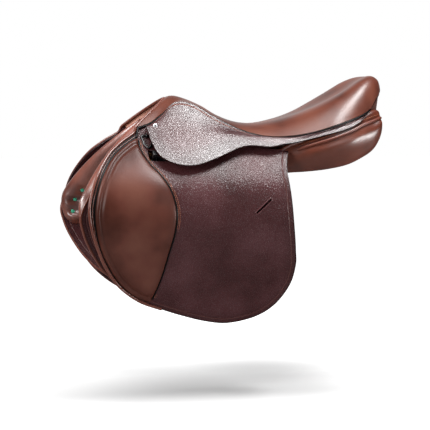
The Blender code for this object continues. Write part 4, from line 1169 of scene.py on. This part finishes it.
# In reflections the paper is darker and glows only a little: a painted dimming of its reflection
tone = mixed(tree, ray.outputs["Is Glossy Ray"], linear("#C8C8C8"), linear("#4A4A4A"))
mirrored = maths(tree, "MULTIPLY", ray.outputs["Is Glossy Ray"], 0.12)
seen = maths(tree, "MAXIMUM", ray.outputs["Is Camera Ray"], mirrored)
clear = maths(tree, "MAXIMUM", seen, ray.outputs["Is Transmission Ray"])
middle = add(tree, "VectorMath", {0: place, 1: (-SHADE_CENTRE[0], -SHADE_CENTRE[1], -FLOOR_Z)},
             operation="ADD")
per_metre = (1 / SHADE_HALF_LONG, 1 / SHADE_HALF_DEEP, 1.0)
oval = add(tree, "VectorMath", {0: middle.outputs["Vector"], 1: per_metre}, operation="MULTIPLY")
far = add(tree, "VectorMath", {0: oval.outputs["Vector"]}, operation="LENGTH")
painted_glow = ramp(tree, far.outputs["Value"], 0.0, 1.0, 0.04, 1.0, soft=True)
shader.inputs["Emission Color"].default_value = linear("#FFFFFF")
wire(tree, shader, Base_Color=tone, Emission_Strength=maths(tree, "MULTIPLY", painted_glow, clear))
floor.data.materials.append(paper)

world = bpy.context.scene.world or bpy.data.worlds.new("studio")
bpy.context.scene.world = world
world.use_nodes = True
tree = world.node_tree
tree.nodes.clear()
ray = add(tree, "LightPath")
clear = maths(tree, "MAXIMUM", ray.outputs["Is Camera Ray"], ray.outputs["Is Transmission Ray"])
looking = add(tree, "SeparateXYZ", {"Vector": add(tree, "NewGeometry").outputs["Incoming"]})
room = ramp(tree, looking.outputs["Y"], 0.0, 1.0, 0.05, 0.12)
backdrop = ramp(tree, looking.outputs["Y"], -1.0, -0.7, 1.0, 0.05, soft=True)
bounce = add(tree, "Mix", {"Factor": ray.outputs["Is Glossy Ray"], "A": room, "B": backdrop})
level = add(tree, "Mix", {"Factor": clear, "A": bounce.outputs[0], "B": 1.0})
sky = add(tree, "Background", {"Color": linear("#FFFFFF"), "Strength": level.outputs[0]})
add(tree, "OutputWorld", {"Surface": sky.outputs["Background"]})


# Each lamp's place, the point it faces, its size in metres and its watts
LAMPS = {
    "strip_overhead": ((0.40, -0.36, 1.22), (0, 0, 0), (0.65, 0.40), 27),
    "soft_box_overhead": ((-0.42, -0.2, 1.5), (0, 0, 0), (0.6, 0.5), 11),
    "soft_box_left": ((-1.7, -1.0, 0.6), (0, 0, 0), (0.9, 0.9), 21),
    "soft_box_right": ((0.9, -2.0, 0.8), (0, 0, 0), (1.2, 0.9), 6),
    "reflector_right": ((1.35, -0.9, -0.05), (0.25, -0.1, 0), (0.3, 0.3), 10),
    "soft_box_front": ((-1.6, -0.1, 0.95), (-0.25, 0.1, 0), (0.5, 0.5), 21),
}
for name, (place, aim, size, watts) in LAMPS.items():
    light = bpy.data.lights.new(name, "AREA")
    light.shape = "RECTANGLE"
    light.size, light.size_y = size
    light.energy = watts
    made = placed(name, light)
    made.location = place
    made.rotation_euler = (Vector(aim) - Vector(place)).to_track_quat("-Z", "Y").to_euler()

camera_data = bpy.data.cameras.new("camera")
camera_data.sensor_width = 36
camera_data.lens = 114.56
camera = placed("camera", camera_data)
azimuth, elevation, distance = math.radians(-13), math.radians(4), 2.6
aim = Vector((-0.0254, 0, -0.0838))
level_back = Vector((math.sin(azimuth), -math.cos(azimuth), 0))
back = level_back * math.cos(elevation) + Vector((0, 0, math.sin(elevation)))
camera.location = aim + back * distance
camera.rotation_euler = (-back).to_track_quat("-Z", "Y").to_euler()
camera_data.clip_end = 50
bpy.context.scene.camera = camera
bpy.context.scene.view_settings.view_transform = "Standard"
